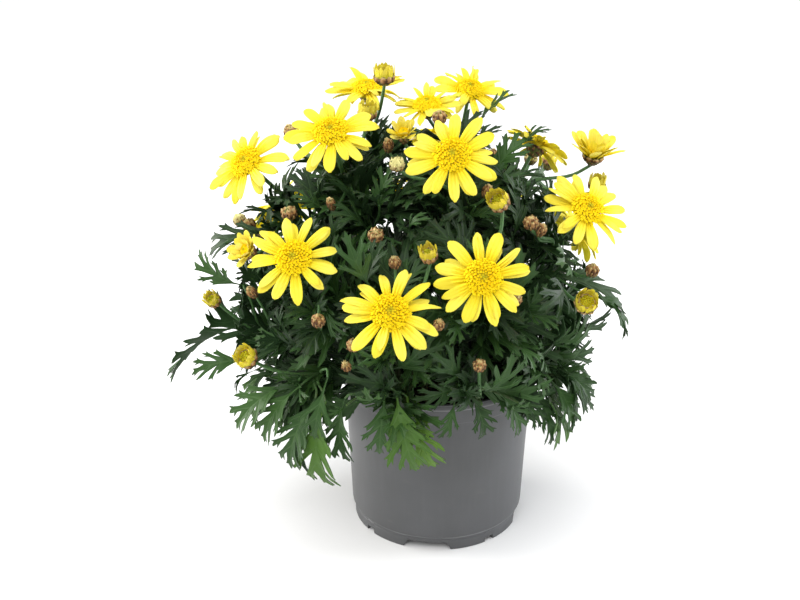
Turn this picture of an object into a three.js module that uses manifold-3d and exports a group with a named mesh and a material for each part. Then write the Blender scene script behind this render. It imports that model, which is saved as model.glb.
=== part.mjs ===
// Potted marguerite daisy: a round bush of cut leaves and yellow blooms in a grey nursery pot.
// Millimetres, +Z up. The origin is on the ground, under the middle of the whole outline.
import * as THREE from 'three';
import { mergeVertices } from 'three/addons/utils/BufferGeometryUtils.js';
import Module from 'manifold-3d';

const wasm = await Module();
wasm.setup();

// Clearance between pieces that touch.
const GAP = 0.3;

const POT = {
  axis: [24, 0],
  height: 104,
  lipRadius: 60,
  lipHeight: 4,
  bandRadius: 59.4,
  bandHeight: 13,
  wallTopRadius: 58.5,
  wallFootRadius: 55,
  wall: 1.6,
  footHeight: 10,
  footRadius: 53.4,
  footInnerRadius: 50,
  floorUnderside: 6.4,
  floorTop: 8.4,
  segments: 30,
  archAngle: -8,
  archWidth: 29,
  archHeight: 5,
  archSlant: 2,
  notchWidth: 7,
  notchHeight: 3,
  recessRadius: 51.4,
  drainRadius: 3.4,
  drainOrbit: 40,
};

const SOIL = { top: 92, segments: 15, relief: 1.5, holeDepth: 14, holeSides: 6 };

const BUSH = {
  seed: 4211,
  centre: [9, 0, 153],
  shell: [112, 107, 105],
  outerLeaves: 130,
  innerLeaves: 60,
  innerShell: 0.78,
  lowest: 66,
  spacing: 25,
  cellMargin: 2.6,
  front: [0, -0.93, 0.37],
};

const STEM = { rootRadius: 2.5, neckRadius: 1.2, shootRadius: 1.5, stalkRadius: 0.95, sides: 5 };

const LEAF = {
  shortest: 40,
  longest: 60,
  width: 0.27,
  fold: 0.2,
  thickness: 0.8,
  stemWidth: 0.95,
  apart: 7.5,
  offStem: 3.8,
};

// The bush's dense middle: each stem has a rough core here, which its leaves stand out of.
const CORE = { shell: 0.6, floor: 110, along: 0.5, step: 2, fill: 0.9 };

// Depth of the calyx cup or closed bud below the point named "at", by kind of head.
const CUP = { open: 7, half: 6.5, opening: 5.5, closed: 8.5 };

// Each head: the middle of its bloom's base or bud's top, the way it faces, its width and its stem.
const HEADS = [
  { name: 'bloom_01', kind: 'open', stem: 0, at: [-90, 4, 232], faces: [-0.45, -0.55, 0.7], width: 53 },
  { name: 'bloom_02', kind: 'open', stem: 1, at: [-38, -36, 260], faces: [-0.1, -0.5, 0.86], width: 54 },
  { name: 'bloom_03', kind: 'open', stem: 2, at: [-20, 28, 270], faces: [-0.06, -0.18, 0.98], width: 50 },
  { name: 'bloom_04', kind: 'open', stem: 3, at: [16, 6, 265], faces: [-0.1, -0.3, 0.95], width: 41 },
  { name: 'bloom_05', kind: 'open', stem: 3, at: [42, 34, 268], faces: [0.15, -0.36, 0.92], width: 48 },
  { name: 'bloom_06', kind: 'open', stem: 4, at: [28, -64, 255], faces: [-0.05, -0.75, 0.66], width: 53 },
  { name: 'bloom_07', kind: 'open', stem: 5, at: [-56, -89, 206], faces: [-0.12, -0.74, 0.66], width: 51 },
  { name: 'bloom_08', kind: 'open', stem: 6, at: [-5, -114, 185], faces: [0, -0.7, 0.71], width: 53 },
  { name: 'bloom_09', kind: 'open', stem: 7, at: [43, -104, 201], faces: [0.06, -0.86, 0.5], width: 51 },
  { name: 'bloom_10', kind: 'open', stem: 8, at: [105, -40, 217], faces: [0.32, -0.6, 0.73], width: 51 },
  { name: 'bloom_11', kind: 'open', stem: 9, at: [81, 12, 240], faces: [0.5, 0.5, 0.7], width: 42 },
  { name: 'bloom_12', kind: 'open', stem: 10, at: [-78, 72, 182], faces: [-0.55, 0.62, 0.56], width: 50 },
  { name: 'bloom_13', kind: 'open', stem: 11, at: [-8, 113, 180], faces: [-0.1, 0.7, 0.71], width: 52 },
  { name: 'bloom_14', kind: 'open', stem: 12, at: [62, 94, 192], faces: [0.35, 0.72, 0.6], width: 50 },
  { name: 'bloom_15', kind: 'open', stem: 11, at: [18, 84, 226], faces: [0.05, 0.5, 0.86], width: 48 },
  { name: 'bloom_16', kind: 'open', stem: 12, at: [112, 40, 178], faces: [0.75, 0.42, 0.51], width: 46 },
  { name: 'half_bloom_01', kind: 'half', stem: 9, at: [115, 8, 236], faces: [0.12, -0.2, 0.97], width: 27 },
  { name: 'half_bloom_02', kind: 'half', stem: 4, at: [2, -26, 257], faces: [-0.1, -0.5, 0.86], width: 15 },
  { name: 'half_bloom_03', kind: 'half', stem: 0, at: [-86, -44, 194], faces: [-0.55, -0.62, 0.56], width: 18 },
  { name: 'opening_bud_01', kind: 'opening', stem: 2, at: [-9, -4, 286], faces: [-0.02, -0.05, 1], width: 12.5 },
  { name: 'opening_bud_02', kind: 'opening', stem: 1, at: [-19, 0, 264], faces: [0.05, -0.1, 0.99], width: 11.5 },
  { name: 'opening_bud_03', kind: 'opening', stem: 7, at: [53, -70, 232], faces: [-0.45, -0.5, 0.74], width: 12.5 },
  { name: 'opening_bud_04', kind: 'opening', stem: 6, at: [15, -93, 210], faces: [-0.2, -0.4, 0.9], width: 9.5 },
  { name: 'opening_bud_05', kind: 'opening', stem: 5, at: [-86, -75, 142], faces: [-0.5, -0.55, 0.67], width: 13 },
  { name: 'opening_bud_06', kind: 'opening', stem: 8, at: [103, -72, 174], faces: [0.05, -0.7, 0.71], width: 13.5 },
  { name: 'opening_bud_07', kind: 'opening', stem: 9, at: [117, 0, 221], faces: [0.08, -0.2, 0.98], width: 10.5 },
  { name: 'opening_bud_08', kind: 'opening', stem: 0, at: [-112, -21, 155], faces: [-0.45, -0.6, 0.66], width: 9.5 },
  { name: 'opening_bud_09', kind: 'opening', stem: 10, at: [-44, 98, 208], faces: [-0.3, 0.6, 0.74], width: 11 },
  { name: 'opening_bud_10', kind: 'opening', stem: 12, at: [96, 72, 214], faces: [0.4, 0.5, 0.77], width: 11 },
  { name: 'bud_01', kind: 'closed', stem: 1, at: [-65, 10, 253], faces: [-0.2, -0.2, 0.96], width: 9.5 },
  { name: 'bud_02', kind: 'closed', stem: 4, at: [-2, -54, 251], faces: [-0.1, -0.5, 0.86], width: 8.5 },
  { name: 'bud_03', kind: 'closed', stem: 3, at: [22, -30, 272], faces: [0, -0.1, 0.99], width: 8 },
  { name: 'bud_04', kind: 'closed', stem: 5, at: [-63, -42, 220], faces: [-0.1, -0.2, 0.97], width: 9 },
  { name: 'bud_05', kind: 'closed', stem: 0, at: [-92, -2, 199], faces: [-0.3, -0.3, 0.9], width: 8.5 },
  { name: 'bud_06', kind: 'closed', stem: 5, at: [-44, -94, 176], faces: [0, -0.3, 0.95], width: 7.5 },
  { name: 'bud_07', kind: 'closed', stem: 1, at: [-13, -80, 219], faces: [0, -0.5, 0.86], width: 8.5 },
  { name: 'bud_08', kind: 'closed', stem: 8, at: [72, -57, 219], faces: [-0.1, -0.3, 0.95], width: 8.5 },
  { name: 'bud_09', kind: 'closed', stem: 8, at: [112, -38, 184], faces: [0.2, -0.2, 0.96], width: 8 },
  { name: 'bud_10', kind: 'closed', stem: 7, at: [43, -101, 152], faces: [0, -0.5, 0.86], width: 7 },
  { name: 'bud_11', kind: 'closed', stem: 10, at: [-104, 42, 188], faces: [-0.5, 0.3, 0.81], width: 8.5 },
  { name: 'bud_12', kind: 'closed', stem: 11, at: [30, 112, 190], faces: [0.1, 0.6, 0.79], width: 8.5 },
  { name: 'bud_13', kind: 'closed', stem: 9, at: [84, 52, 226], faces: [0.3, 0.3, 0.9], width: 8.5 },
];

// Each leafy stem: its place in the soil, the head that ends it and where its low side shoot ends.
const STEMS = [
  { root: [-6, 2], head: 'bloom_01', shoot: [-88, -12, 124] },
  { root: [7, -9], head: 'bloom_02' },
  { root: [11, 11], head: 'bloom_03' },
  { root: [29, 12], head: 'bloom_05' },
  { root: [25, -13], head: 'bloom_06' },
  { root: [1, -23], head: 'bloom_07', shoot: [-62, -62, 120] },
  { root: [15, -31], head: 'bloom_08', shoot: [-14, -82, 116] },
  { root: [35, -30], head: 'bloom_09', shoot: [46, -82, 116] },
  { root: [50, -15], head: 'bloom_10', shoot: [92, -42, 118] },
  { root: [46, 2], head: 'bloom_11', shoot: [100, 10, 124] },
  { root: [-2, 20], head: 'bloom_12', shoot: [-66, 50, 120] },
  { root: [17, 32], head: 'bloom_13', shoot: [-10, 86, 116] },
  { root: [42, 24], head: 'bloom_14', shoot: [60, 74, 118] },
];

// Tips of the leaves that reach furthest, which give the bush its outline.
const REACH = [
  [-136, -50, 112],
  [-129, -36, 130],
  [-119, -6, 152],
  [-112, -72, 104],
  [-51, -80, 62],
  [-70, -88, 78],
  [-4, -102, 74],
  [28, -100, 72],
  [92, -72, 82],
  [108, -60, 96],
  [137, -24, 148],
  [134, -8, 168],
  [134, 14, 138],
  [94, 14, 264],
  [66, 22, 268],
  [-116, -8, 178],
  [-60, 104, 84],
  [30, 112, 78],
  [96, 80, 92],
  [-116, 62, 110],
];

const LOOK = {
  pot: { color: 0x6d6e71, roughness: 0.55, metalness: 0 },
  soil: { color: 0x2a211b, roughness: 0.95, metalness: 0 },
  leaf: { color: 0x35563a, roughness: 0.6, metalness: 0 },
  ray: { color: 0xfbe63c, roughness: 0.6, metalness: 0 },
  disc: { color: 0xf2bd0c, roughness: 0.75, metalness: 0 },
};

const UP = new THREE.Vector3(0, 0, 1);
const FRONT = new THREE.Vector3(...BUSH.front).normalize();
const CENTRE = new THREE.Vector3(...BUSH.centre);
const vector = (xyz) => new THREE.Vector3(...xyz);

// A small seeded generator, so that every run grows the same plant.
function seeded(seed) {
  let state = seed >>> 0;
  return () => {
    state = (Math.imul(state, 1664525) + 1013904223) >>> 0;
    return state / 4294967296;
  };
}

function solidOf(points, faces) {
  const vertProperties = new Float32Array(points.flatMap((p) => [p.x, p.y, p.z]));
  const triVerts = new Uint32Array(faces.flat());
  return new wasm.Manifold(new wasm.Mesh({ numProp: 3, vertProperties, triVerts }));
}

function solidFromGeometry(geometry) {
  const bare = geometry.clone();
  bare.deleteAttribute('normal');
  bare.deleteAttribute('uv');
  const merged = mergeVertices(bare, 1e-4);
  const vertProperties = new Float32Array(merged.attributes.position.array);
  const triVerts = new Uint32Array(merged.index.array);
  return new wasm.Manifold(new wasm.Mesh({ numProp: 3, vertProperties, triVerts }));
}

function geometryOf(solid) {
  const { vertProperties, triVerts, numProp } = solid.getMesh();
  const position = new Float32Array((vertProperties.length / numProp) * 3);
  for (let i = 0; i < position.length / 3; i += 1) {
    position.set(vertProperties.subarray(i * numProp, i * numProp + 3), i * 3);
  }
  const geometry = new THREE.BufferGeometry();
  geometry.setAttribute('position', new THREE.BufferAttribute(position, 3));
  geometry.setIndex(new THREE.BufferAttribute(new Uint32Array(triVerts), 1));
  return geometry;
}

function fuse(solids) {
  return solids.reduce((whole, next) => whole.add(next));
}

function meshOf(name, solid, look) {
  const mesh = new THREE.Mesh(geometryOf(solid), new THREE.MeshStandardMaterial(look));
  mesh.name = name;
  return mesh;
}

// A round tube through the centres, each with its own radius, closed by a flat root and a raised end.
function tube(centres, radii, sides, endRise = 0) {
  const last = centres.length - 1;
  const points = [];
  const faces = [];
  const side = new THREE.Vector3(1, 0.3, 0.2);
  const tangent = new THREE.Vector3();
  centres.forEach((centre, k) => {
    tangent.subVectors(centres[Math.min(k + 1, last)], centres[Math.max(k - 1, 0)]).normalize();
    side.addScaledVector(tangent, -side.dot(tangent)).normalize();
    const other = tangent.clone().cross(side);
    for (let i = 0; i < sides; i += 1) {
      const angle = (2 * Math.PI * i) / sides;
      const point = centre.clone().addScaledVector(side, radii[k] * Math.cos(angle));
      points.push(point.addScaledVector(other, radii[k] * Math.sin(angle)));
    }
  });
  points.push(centres[last].clone().addScaledVector(tangent, endRise));
  const end = points.length - 1;
  for (let k = 0; k < last; k += 1) {
    for (let i = 0; i < sides; i += 1) {
      const a = k * sides + i;
      const b = k * sides + ((i + 1) % sides);
      faces.push([a, b, b + sides], [a, b + sides, a + sides]);
    }
  }
  for (let i = 0; i < sides; i += 1) {
    faces.push([end, last * sides + i, last * sides + ((i + 1) % sides)]);
    if (i > 0 && i < sides - 1) faces.push([0, i + 1, i]);
  }
  return solidOf(points, faces);
}

const heads = HEADS.map((head) => {
  const at = vector(head.at);
  const faces = vector(head.faces).normalize();
  return { ...head, at, faces, neck: at.clone().addScaledVector(faces, -CUP[head.kind]) };
});

function curveTo(start, heading, end, arrival, slack) {
  const span = start.distanceTo(end);
  return new THREE.CubicBezierCurve3(
    start,
    start.clone().addScaledVector(heading, span * slack),
    end.clone().addScaledVector(arrival, -span * 0.3),
    end,
  );
}

// A path is the curve in straight steps. Leaves grow on it between its bare foot and its leafy end.
function pathOf(curve, steps, bare, leafy, kind) {
  const points = [];
  for (let i = 0; i <= steps; i += 1) points.push(curve.getPoint(i / steps));
  return { points, bare, leafy, kind };
}

function spotOn(path, t) {
  const steps = path.points.length - 1;
  const step = Math.min(steps - 1, Math.floor(t * steps));
  const [from, to] = [path.points[step], path.points[step + 1]];
  return { point: from.clone().lerp(to, t * steps - step), tangent: to.clone().sub(from).normalize() };
}

// The point of the stem's earlier paths from which a stalk of about the wanted length can leave.
function branchPoint(paths, target, wanted) {
  let best = null;
  for (const path of paths) {
    for (let i = 2; i <= 16; i += 1) {
      const { point, tangent } = spotOn(path, i / 20);
      const away = target.clone().sub(point);
      const length = away.length();
      const forward = away.dot(tangent) / length;
      const cost = Math.abs(length - wanted) + 30 * Math.max(0, 0.45 - forward);
      if (best === null || cost < best.cost) best = { cost, point, tangent };
    }
  }
  return best;
}

// Each stem's paths: the main path up to its head, a low side shoot and the stalks of other heads.
const stems = STEMS.map((stem, index) => {
  const own = heads.filter((head) => head.stem === index);
  const lead = own.find((head) => head.name === stem.head);
  const ground = new THREE.Vector3(stem.root[0], stem.root[1], SOIL.top + 4);
  const main = pathOf(curveTo(ground, UP, lead.neck, lead.faces, 0.42), 6, 0.1, 0.8, 'main');
  const paths = [main];
  if (stem.shoot) {
    const start = spotOn(main, 0.1).point;
    const end = vector(stem.shoot);
    const out = end.clone().sub(start).setZ(0).normalize();
    const rise = out.clone().addScaledVector(UP, 0.7).normalize();
    paths.push(pathOf(curveTo(start, rise, end, out, 0.35), 4, 0.3, 0.98, 'shoot'));
  }
  const carriers = [...paths];
  for (const head of own) {
    if (head !== lead) {
      const branch = branchPoint(carriers, head.neck, head.kind === 'closed' ? 34 : 48);
      const stalk = curveTo(branch.point, branch.tangent, head.neck, head.faces, 0.35);
      paths.push({ ...pathOf(stalk, 3, 0.15, 0.5, 'stalk'), head });
    }
  }
  main.head = lead;
  return { index, ground, paths };
});

// Straight pieces of all paths, flattened for quick distance tests.
const pieces = stems.flatMap((stem) =>
  stem.paths.flatMap((path) =>
    path.points.slice(1).map((b, i) => ({ stem: stem.index, a: path.points[i], b })),
  ),
);

function distancesByStem(point) {
  const nearest = new Array(stems.length).fill(Infinity);
  for (const { stem, a, b } of pieces) {
    const ex = b.x - a.x;
    const ey = b.y - a.y;
    const ez = b.z - a.z;
    const px = point.x - a.x;
    const py = point.y - a.y;
    const pz = point.z - a.z;
    const along = (px * ex + py * ey + pz * ez) / (ex * ex + ey * ey + ez * ez);
    const t = Math.min(1, Math.max(0, along));
    const dx = px - ex * t;
    const dy = py - ey * t;
    const dz = pz - ez * t;
    const distance = Math.sqrt(dx * dx + dy * dy + dz * dz);
    if (distance < nearest[stem]) nearest[stem] = distance;
  }
  return nearest;
}

function nearestStem(point) {
  const distances = distancesByStem(point);
  return distances.indexOf(Math.min(...distances));
}

// Whether the point is nearer its own stem than any other, and off its own stem's paths.
function insideCell(point, stem, off = 0) {
  const distances = distancesByStem(point);
  const own = distances[stem];
  if (own < off) return false;
  return distances.every((distance, k) => k === stem || distance - own > BUSH.cellMargin);
}

function clearOfHeads(point) {
  return heads.every((head) => {
    const offset = point.clone().sub(head.at);
    const along = offset.dot(head.faces);
    const off = Math.sqrt(Math.max(0, offset.lengthSq() - along * along));
    const radius = head.width / 2 + 2.5;
    if (head.kind !== 'open') return along < -12 || along > 14 || off > radius;
    const ahead = offset.dot(FRONT);
    const aside = Math.sqrt(Math.max(0, offset.lengthSq() - ahead * ahead));
    if (ahead > 0 && ahead < 60 && aside < radius * 0.7) return false;
    if (along > -14 && along < 0 && off < 11) return false;
    return along < -6 || along > 18 || off > radius;
  });
}

function clearOfPot(point) {
  const reach = Math.hypot(point.x - POT.axis[0], point.y - POT.axis[1]);
  return point.z > POT.height + 4 || reach > POT.lipRadius + 4;
}

// Where the pairs of lobes meet the midrib along a blade, and each lobe's tip: distance and reach.
const LOBES = {
  2: { rib: [0.34, 0.56, 0.78], tips: [[0.68, 0.95], [0.9, 0.72]] },
  3: { rib: [0.26, 0.43, 0.6, 0.78], tips: [[0.53, 0.8], [0.73, 1], [0.9, 0.66]] },
};

// A blade between its start and its tip: arched, folded along the midrib and rolled about its chord.
function bladeFrame(start, tip, roll, arch) {
  const along = tip.clone().sub(start);
  const length = along.length();
  along.normalize();
  const middle = start.clone().lerp(tip, 0.5);
  const outward = middle.clone().sub(CENTRE).normalize();
  const lift = outward.addScaledVector(UP, 0.4);
  const flat = lift.addScaledVector(along, -lift.dot(along)).normalize();
  const wide = flat.clone().cross(along);
  const normal = flat.clone().multiplyScalar(Math.cos(roll)).addScaledVector(wide, Math.sin(roll));
  const across = normal.clone().cross(along);
  return { start, along, across, normal, length, arch };
}

function onBlade(frame, s, h) {
  const { start, along, across, normal, length, arch } = frame;
  const height = arch * length * 4 * s * (1 - s) + LEAF.fold * Math.abs(h);
  return start.clone()
    .addScaledVector(along, s * length)
    .addScaledVector(across, h)
    .addScaledVector(normal, height);
}

function bladeOutline(frame, pairs) {
  const half = LEAF.width * frame.length;
  const rib = [[0, LEAF.stemWidth], ...LOBES[pairs].rib.map((s) => [s, 0.034 * frame.length])];
  const lobes = LOBES[pairs].tips.map(([s, reach]) => [s, reach * half]);
  return { rib, lobes };
}

function bladeSamples(frame, pairs) {
  const { rib, lobes } = bladeOutline(frame, pairs);
  const samples = [0.35, 0.5, 0.65, 0.9, 1].map((s) => onBlade(frame, s, 0));
  for (const [s, h] of rib.slice(1)) samples.push(onBlade(frame, s, h), onBlade(frame, s, -h));
  for (const [s, h] of lobes) {
    for (const part of [1, 0.5]) {
      samples.push(onBlade(frame, s - 0.1 * (1 - part), h * part));
      samples.push(onBlade(frame, s - 0.1 * (1 - part), -h * part));
    }
  }
  return samples;
}

// The midrib strip is a plate of full thickness, and each lobe thins out to its sharp tip.
function bladeSolid(frame, pairs) {
  const { rib, lobes } = bladeOutline(frame, pairs);
  const points = [];
  const faces = [];
  const half = LEAF.thickness / 2;
  const corner = (s, h, side) =>
    points.push(onBlade(frame, s, h).addScaledVector(frame.normal, side * half)) - 1;
  const tip = (s, h) => points.push(onBlade(frame, s, h)) - 1;
  const left = rib.map(([s, h]) => [corner(s, h, 1), corner(s, h, -1)]);
  const right = rib.map(([s, h]) => [corner(s, -h, 1), corner(s, -h, -1)]);
  const wedge = (from, to, end) => {
    faces.push([from[0], to[0], end], [to[1], from[1], end]);
    faces.push([from[1], from[0], end], [to[0], to[1], end]);
  };
  for (let k = 0; k < rib.length - 1; k += 1) {
    const [l, r, nextL, nextR] = [left[k], right[k], left[k + 1], right[k + 1]];
    faces.push([l[0], r[0], nextR[0]], [l[0], nextR[0], nextL[0]]);
    faces.push([l[1], nextR[1], r[1]], [l[1], nextL[1], nextR[1]]);
  }
  const [l, r, nextL, nextR] = [left[0], right[0], left[1], right[1]];
  faces.push([l[0], l[1], r[1]], [l[0], r[1], r[0]]);
  faces.push([r[0], r[1], nextR[1]], [r[0], nextR[1], nextR[0]]);
  faces.push([nextL[0], nextL[1], l[1]], [nextL[0], l[1], l[0]]);
  lobes.forEach(([s, h], k) => {
    wedge(left[k + 1], left[k + 2], tip(s, h));
    wedge(right[k + 2], right[k + 1], tip(s, -h));
  });
  wedge(left.at(-1), right.at(-1), tip(1, 0));
  return solidOf(points, faces);
}

// Where on its stem a leaf with this tip starts: about the wanted length away, behind the tip and
// off the leaves that the stem already has.
function leafStart(stem, tip, wanted, siblings) {
  let best = null;
  for (const path of stems[stem].paths) {
    for (let i = 0; i <= 10; i += 1) {
      const t = path.bare + ((path.leafy - path.bare) * i) / 10;
      const { point, tangent } = spotOn(path, t);
      const away = tip.clone().sub(point);
      const length = away.length();
      const forward = away.dot(tangent) / length;
      const crowd = siblings.filter((leaf) => leaf.frame.start.distanceTo(point) < 3.5).length;
      const cost = Math.abs(length - wanted) + 16 * Math.abs(forward - 0.6) + 12 * crowd;
      if (best === null || cost < best.cost) best = { cost, point, length };
    }
  }
  return best;
}

// Every way a leaf may be bent to find room, from the most natural to the least.
const BENDS = [1, 0.75, 0.55].flatMap((near) =>
  [1, 0.84].flatMap((shrink) =>
    [0.13, 0.24].flatMap((arch) =>
      [0, 0.45, -0.45, 0.9, -0.9].map((roll) => ({ near, shrink, arch, roll })),
    ),
  ),
);

function clearOfLeaves(point, others) {
  return others.every((leaf) => leaf.samples.every((p) => p.distanceTo(point) > LEAF.apart));
}

// One leaf towards the tip, bent and shortened until it keeps to its own stem's room.
function growLeaf(tip, wanted, pairs, leaves) {
  const stem = nearestStem(tip);
  const siblings = leaves.filter((leaf) => leaf.stem === stem);
  for (const { near, shrink, arch, roll } of BENDS) {
    const from = leafStart(stem, tip, wanted * near, siblings);
    const reach = Math.min(1, LEAF.longest / from.length) * shrink;
    const end = from.point.clone().lerp(tip, reach);
    const frame = bladeFrame(from.point, end, roll, arch);
    const samples = bladeSamples(frame, pairs);
    const fits = frame.length > LEAF.shortest * 0.6 && samples.every(
      (p) => clearOfPot(p) && clearOfHeads(p) && clearOfLeaves(p, siblings) &&
        insideCell(p, stem, LEAF.offStem),
    );
    if (fits) return { stem, frame, pairs, samples, tip: end };
  }
  return null;
}

// Tips spread evenly over the bush, by a golden angle walk with a seeded jitter.
function growLeaves() {
  const random = seeded(BUSH.seed);
  const leaves = [];
  const tryLeaf = (tip, wanted, pairs, spacing) => {
    if (leaves.some((leaf) => leaf.tip.distanceTo(tip) < spacing)) return;
    const leaf = growLeaf(tip, wanted, pairs, leaves);
    if (leaf !== null) leaves.push(leaf);
  };
  REACH.forEach((tip) => tryLeaf(vector(tip), LEAF.longest, 3, 0));
  const layers = [
    { count: BUSH.outerLeaves, scale: 1, pairs: 2 },
    { count: BUSH.innerLeaves, scale: BUSH.innerShell, pairs: 2 },
  ];
  for (const { count, scale, pairs } of layers) {
    for (let i = 0; i < count; i += 1) {
      const turn = i * 2.399963 + 0.35 * (random() - 0.5);
      const z = 1 - (2 * (i + 0.5)) / count;
      const r = Math.sqrt(1 - z * z);
      const reach = scale * (0.9 + 0.16 * random());
      const wanted = LEAF.shortest + (LEAF.longest - LEAF.shortest) * random();
      const tip = new THREE.Vector3(
        BUSH.centre[0] + BUSH.shell[0] * reach * r * Math.cos(turn),
        BUSH.centre[1] + BUSH.shell[1] * reach * r * Math.sin(turn),
        BUSH.centre[2] + BUSH.shell[2] * reach * z,
      );
      if (tip.z > BUSH.lowest) tryLeaf(tip, wanted * (scale < 1 ? 0.8 : 1), pairs, BUSH.spacing);
    }
  }
  return leaves;
}

// Rings of a calyx cup or of a closed bud above the neck: distance up and radius, as parts of its width.
const CALYX = {
  open: { up: [2.6, 5], radius: [0.115, 0.15], rise: 2 },
  half: { up: [2.4, 5.6], radius: [0.24, 0.3], rise: 0.9 },
  opening: { up: [1.8, 5.5], radius: [0.34, 0.46], rise: 0 },
  closed: { up: [3, 6.6], radius: [0.48, 0.42], rise: 1.9 },
};

function stalkSolid(path, startRadius, sides, foot = []) {
  const centres = [...foot, ...path.points];
  const last = centres.length - 1;
  const radii = centres.map((c, i) => startRadius + ((STEM.stalkRadius - startRadius) * i) / last);
  if (!path.head) return tube(centres, radii, sides, 1.5);
  const { up, radius, rise } = CALYX[path.head.kind];
  up.forEach((height, k) => {
    centres.push(path.head.neck.clone().addScaledVector(path.head.faces, height));
    radii.push(path.head.width * radius[k]);
  });
  return tube(centres, radii, sides, rise);
}

// A rough star of the room that the stem has to itself in the middle of the bush.
function coreSolid(stem) {
  const heart = spotOn(stem.paths[0], CORE.along).point;
  const star = new THREE.OctahedronGeometry(1, 1);
  star.deleteAttribute('normal');
  star.deleteAttribute('uv');
  const merged = mergeVertices(star, 1e-4);
  const points = [];
  for (let i = 0; i < merged.attributes.position.count; i += 1) {
    const way = new THREE.Vector3().fromBufferAttribute(merged.attributes.position, i).normalize();
    let reach = CORE.step;
    const isFree = (distance) => {
      const p = heart.clone().addScaledVector(way, distance);
      const scaled = p.clone().sub(CENTRE).divide(vector(BUSH.shell)).length();
      return scaled < CORE.shell && p.z > CORE.floor && clearOfHeads(p) && insideCell(p, stem.index);
    };
    while (isFree(reach + CORE.step)) reach += CORE.step;
    points.push(heart.clone().addScaledVector(way, reach * CORE.fill));
  }
  const faces = [];
  for (let i = 0; i < merged.index.count; i += 3) {
    faces.push([merged.index.getX(i), merged.index.getX(i + 1), merged.index.getX(i + 2)]);
  }
  return solidOf(points, faces);
}

function stemSolid(stem, leaves) {
  const [main, ...sides] = stem.paths;
  const foot = new THREE.Vector3(stem.ground.x, stem.ground.y, SOIL.top - SOIL.holeDepth + GAP);
  const parts = [coreSolid(stem), stalkSolid(main, STEM.rootRadius, STEM.sides, [foot])];
  for (const path of sides) {
    const radius = path.kind === 'shoot' ? STEM.shootRadius : STEM.neckRadius;
    parts.push(stalkSolid(path, radius, path.kind === 'shoot' ? 4 : 5));
  }
  for (const leaf of leaves) parts.push(bladeSolid(leaf.frame, leaf.pairs));
  return fuse(parts);
}

// A ring of rays as one thin star: each ray widens from its notch and narrows to a sharp tip.
function raySolid({ count, reach, notch, waist, waistRadius, lift, layer, thickness, heart, random }) {
  const points = [new THREE.Vector3(0, 0, GAP + thickness + heart), new THREE.Vector3(0, 0, GAP)];
  const faces = [];
  const outline = [];
  const add = (turn, r, h) =>
    points.push(new THREE.Vector3(r * Math.cos(turn), r * Math.sin(turn), GAP + h)) - 1;
  const edge = (turn, r, h) => [add(turn, r, h + thickness), add(turn, r, h)];
  for (let k = 0; k < count; k += 1) {
    const turn = (2 * Math.PI * (k + 0.18 * (random() - 0.5))) / count;
    const between = (2 * Math.PI * (k - 0.5)) / count;
    const tip = reach * (0.94 + 0.1 * random());
    const drop = k % 2 === 0 ? 0 : -layer;
    const spread = Math.atan2(waist, waistRadius);
    const end = add(turn, tip, lift(tip) + drop + thickness / 2);
    outline.push(edge(between, notch, lift(notch)));
    outline.push(edge(turn - spread, waistRadius, lift(waistRadius) + drop));
    outline.push([end, end]);
    outline.push(edge(turn + spread, waistRadius, lift(waistRadius) + drop));
  }
  outline.forEach((from, k) => {
    const to = outline[(k + 1) % outline.length];
    faces.push([0, from[0], to[0]], [1, to[1], from[1]]);
    if (from[0] !== from[1]) faces.push([from[0], from[1], to[1]]);
    if (to[0] !== to[1]) faces.push([from[0], to[1], to[0]]);
  });
  return solidOf(points, faces);
}

// The disc of florets as relief: rings of alternate high and low points up to a dimpled middle.
function discSolid(radius, height, sides, base) {
  const rings = [
    [0.86, 0, 0],
    [1, 0.3, 0.05],
    [0.8, 0.78, 0.08],
    [0.42, 1, 0.06],
  ];
  const points = [new THREE.Vector3(0, 0, base)];
  const faces = [];
  rings.forEach(([r, z, relief], ring) => {
    for (let i = 0; i < sides; i += 1) {
      const sign = (i + ring) % 2 === 0 ? 1 : -1;
      const turn = (2 * Math.PI * i) / sides;
      const reach = radius * (r + relief * sign);
      const up = base + height * (z + (z > 0 ? relief * sign : 0));
      points.push(new THREE.Vector3(reach * Math.cos(turn), reach * Math.sin(turn), up));
    }
  });
  points.push(new THREE.Vector3(0, 0, base + height * 0.86));
  const end = points.length - 1;
  for (let i = 0; i < sides; i += 1) {
    const next = (i + 1) % sides;
    faces.push([0, 1 + next, 1 + i]);
    for (let ring = 0; ring < rings.length - 1; ring += 1) {
      const a = 1 + ring * sides + i;
      const b = 1 + ring * sides + next;
      faces.push([a, b, b + sides], [a, b + sides, a + sides]);
    }
    faces.push([end, end - sides + i, end - sides + next]);
  }
  return solidOf(points, faces);
}

function openBloom(head, random) {
  const reach = head.width / 2;
  const droop = 1.6 + 1.6 * random();
  const rays = raySolid({
    count: 12,
    reach,
    notch: reach * 0.42,
    waist: reach * 0.155,
    waistRadius: reach * 0.68,
    lift: (r) => -droop * (r / reach) ** 2 * 1.6,
    layer: 1,
    thickness: 0.8,
    heart: 0,
    random,
  });
  const disc = discSolid(reach * 0.44, 6.5, 8, GAP + 0.8 + GAP);
  return [
    meshOf(`${head.name}_rays`, rays, LOOK.ray),
    meshOf(`${head.name}_disc`, disc, LOOK.disc),
  ];
}

function halfBloom(head, random) {
  const reach = head.width / 2;
  const rays = raySolid({
    count: 8,
    reach,
    notch: reach * 0.5,
    waist: reach * 0.24,
    waistRadius: reach * 0.78,
    lift: (r) => 1.25 * reach * (r / reach) ** 1.6,
    layer: 0.4,
    thickness: 1.8,
    heart: reach * 0.7,
    random,
  });
  return [meshOf(head.name, rays, LOOK.ray)];
}

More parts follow.
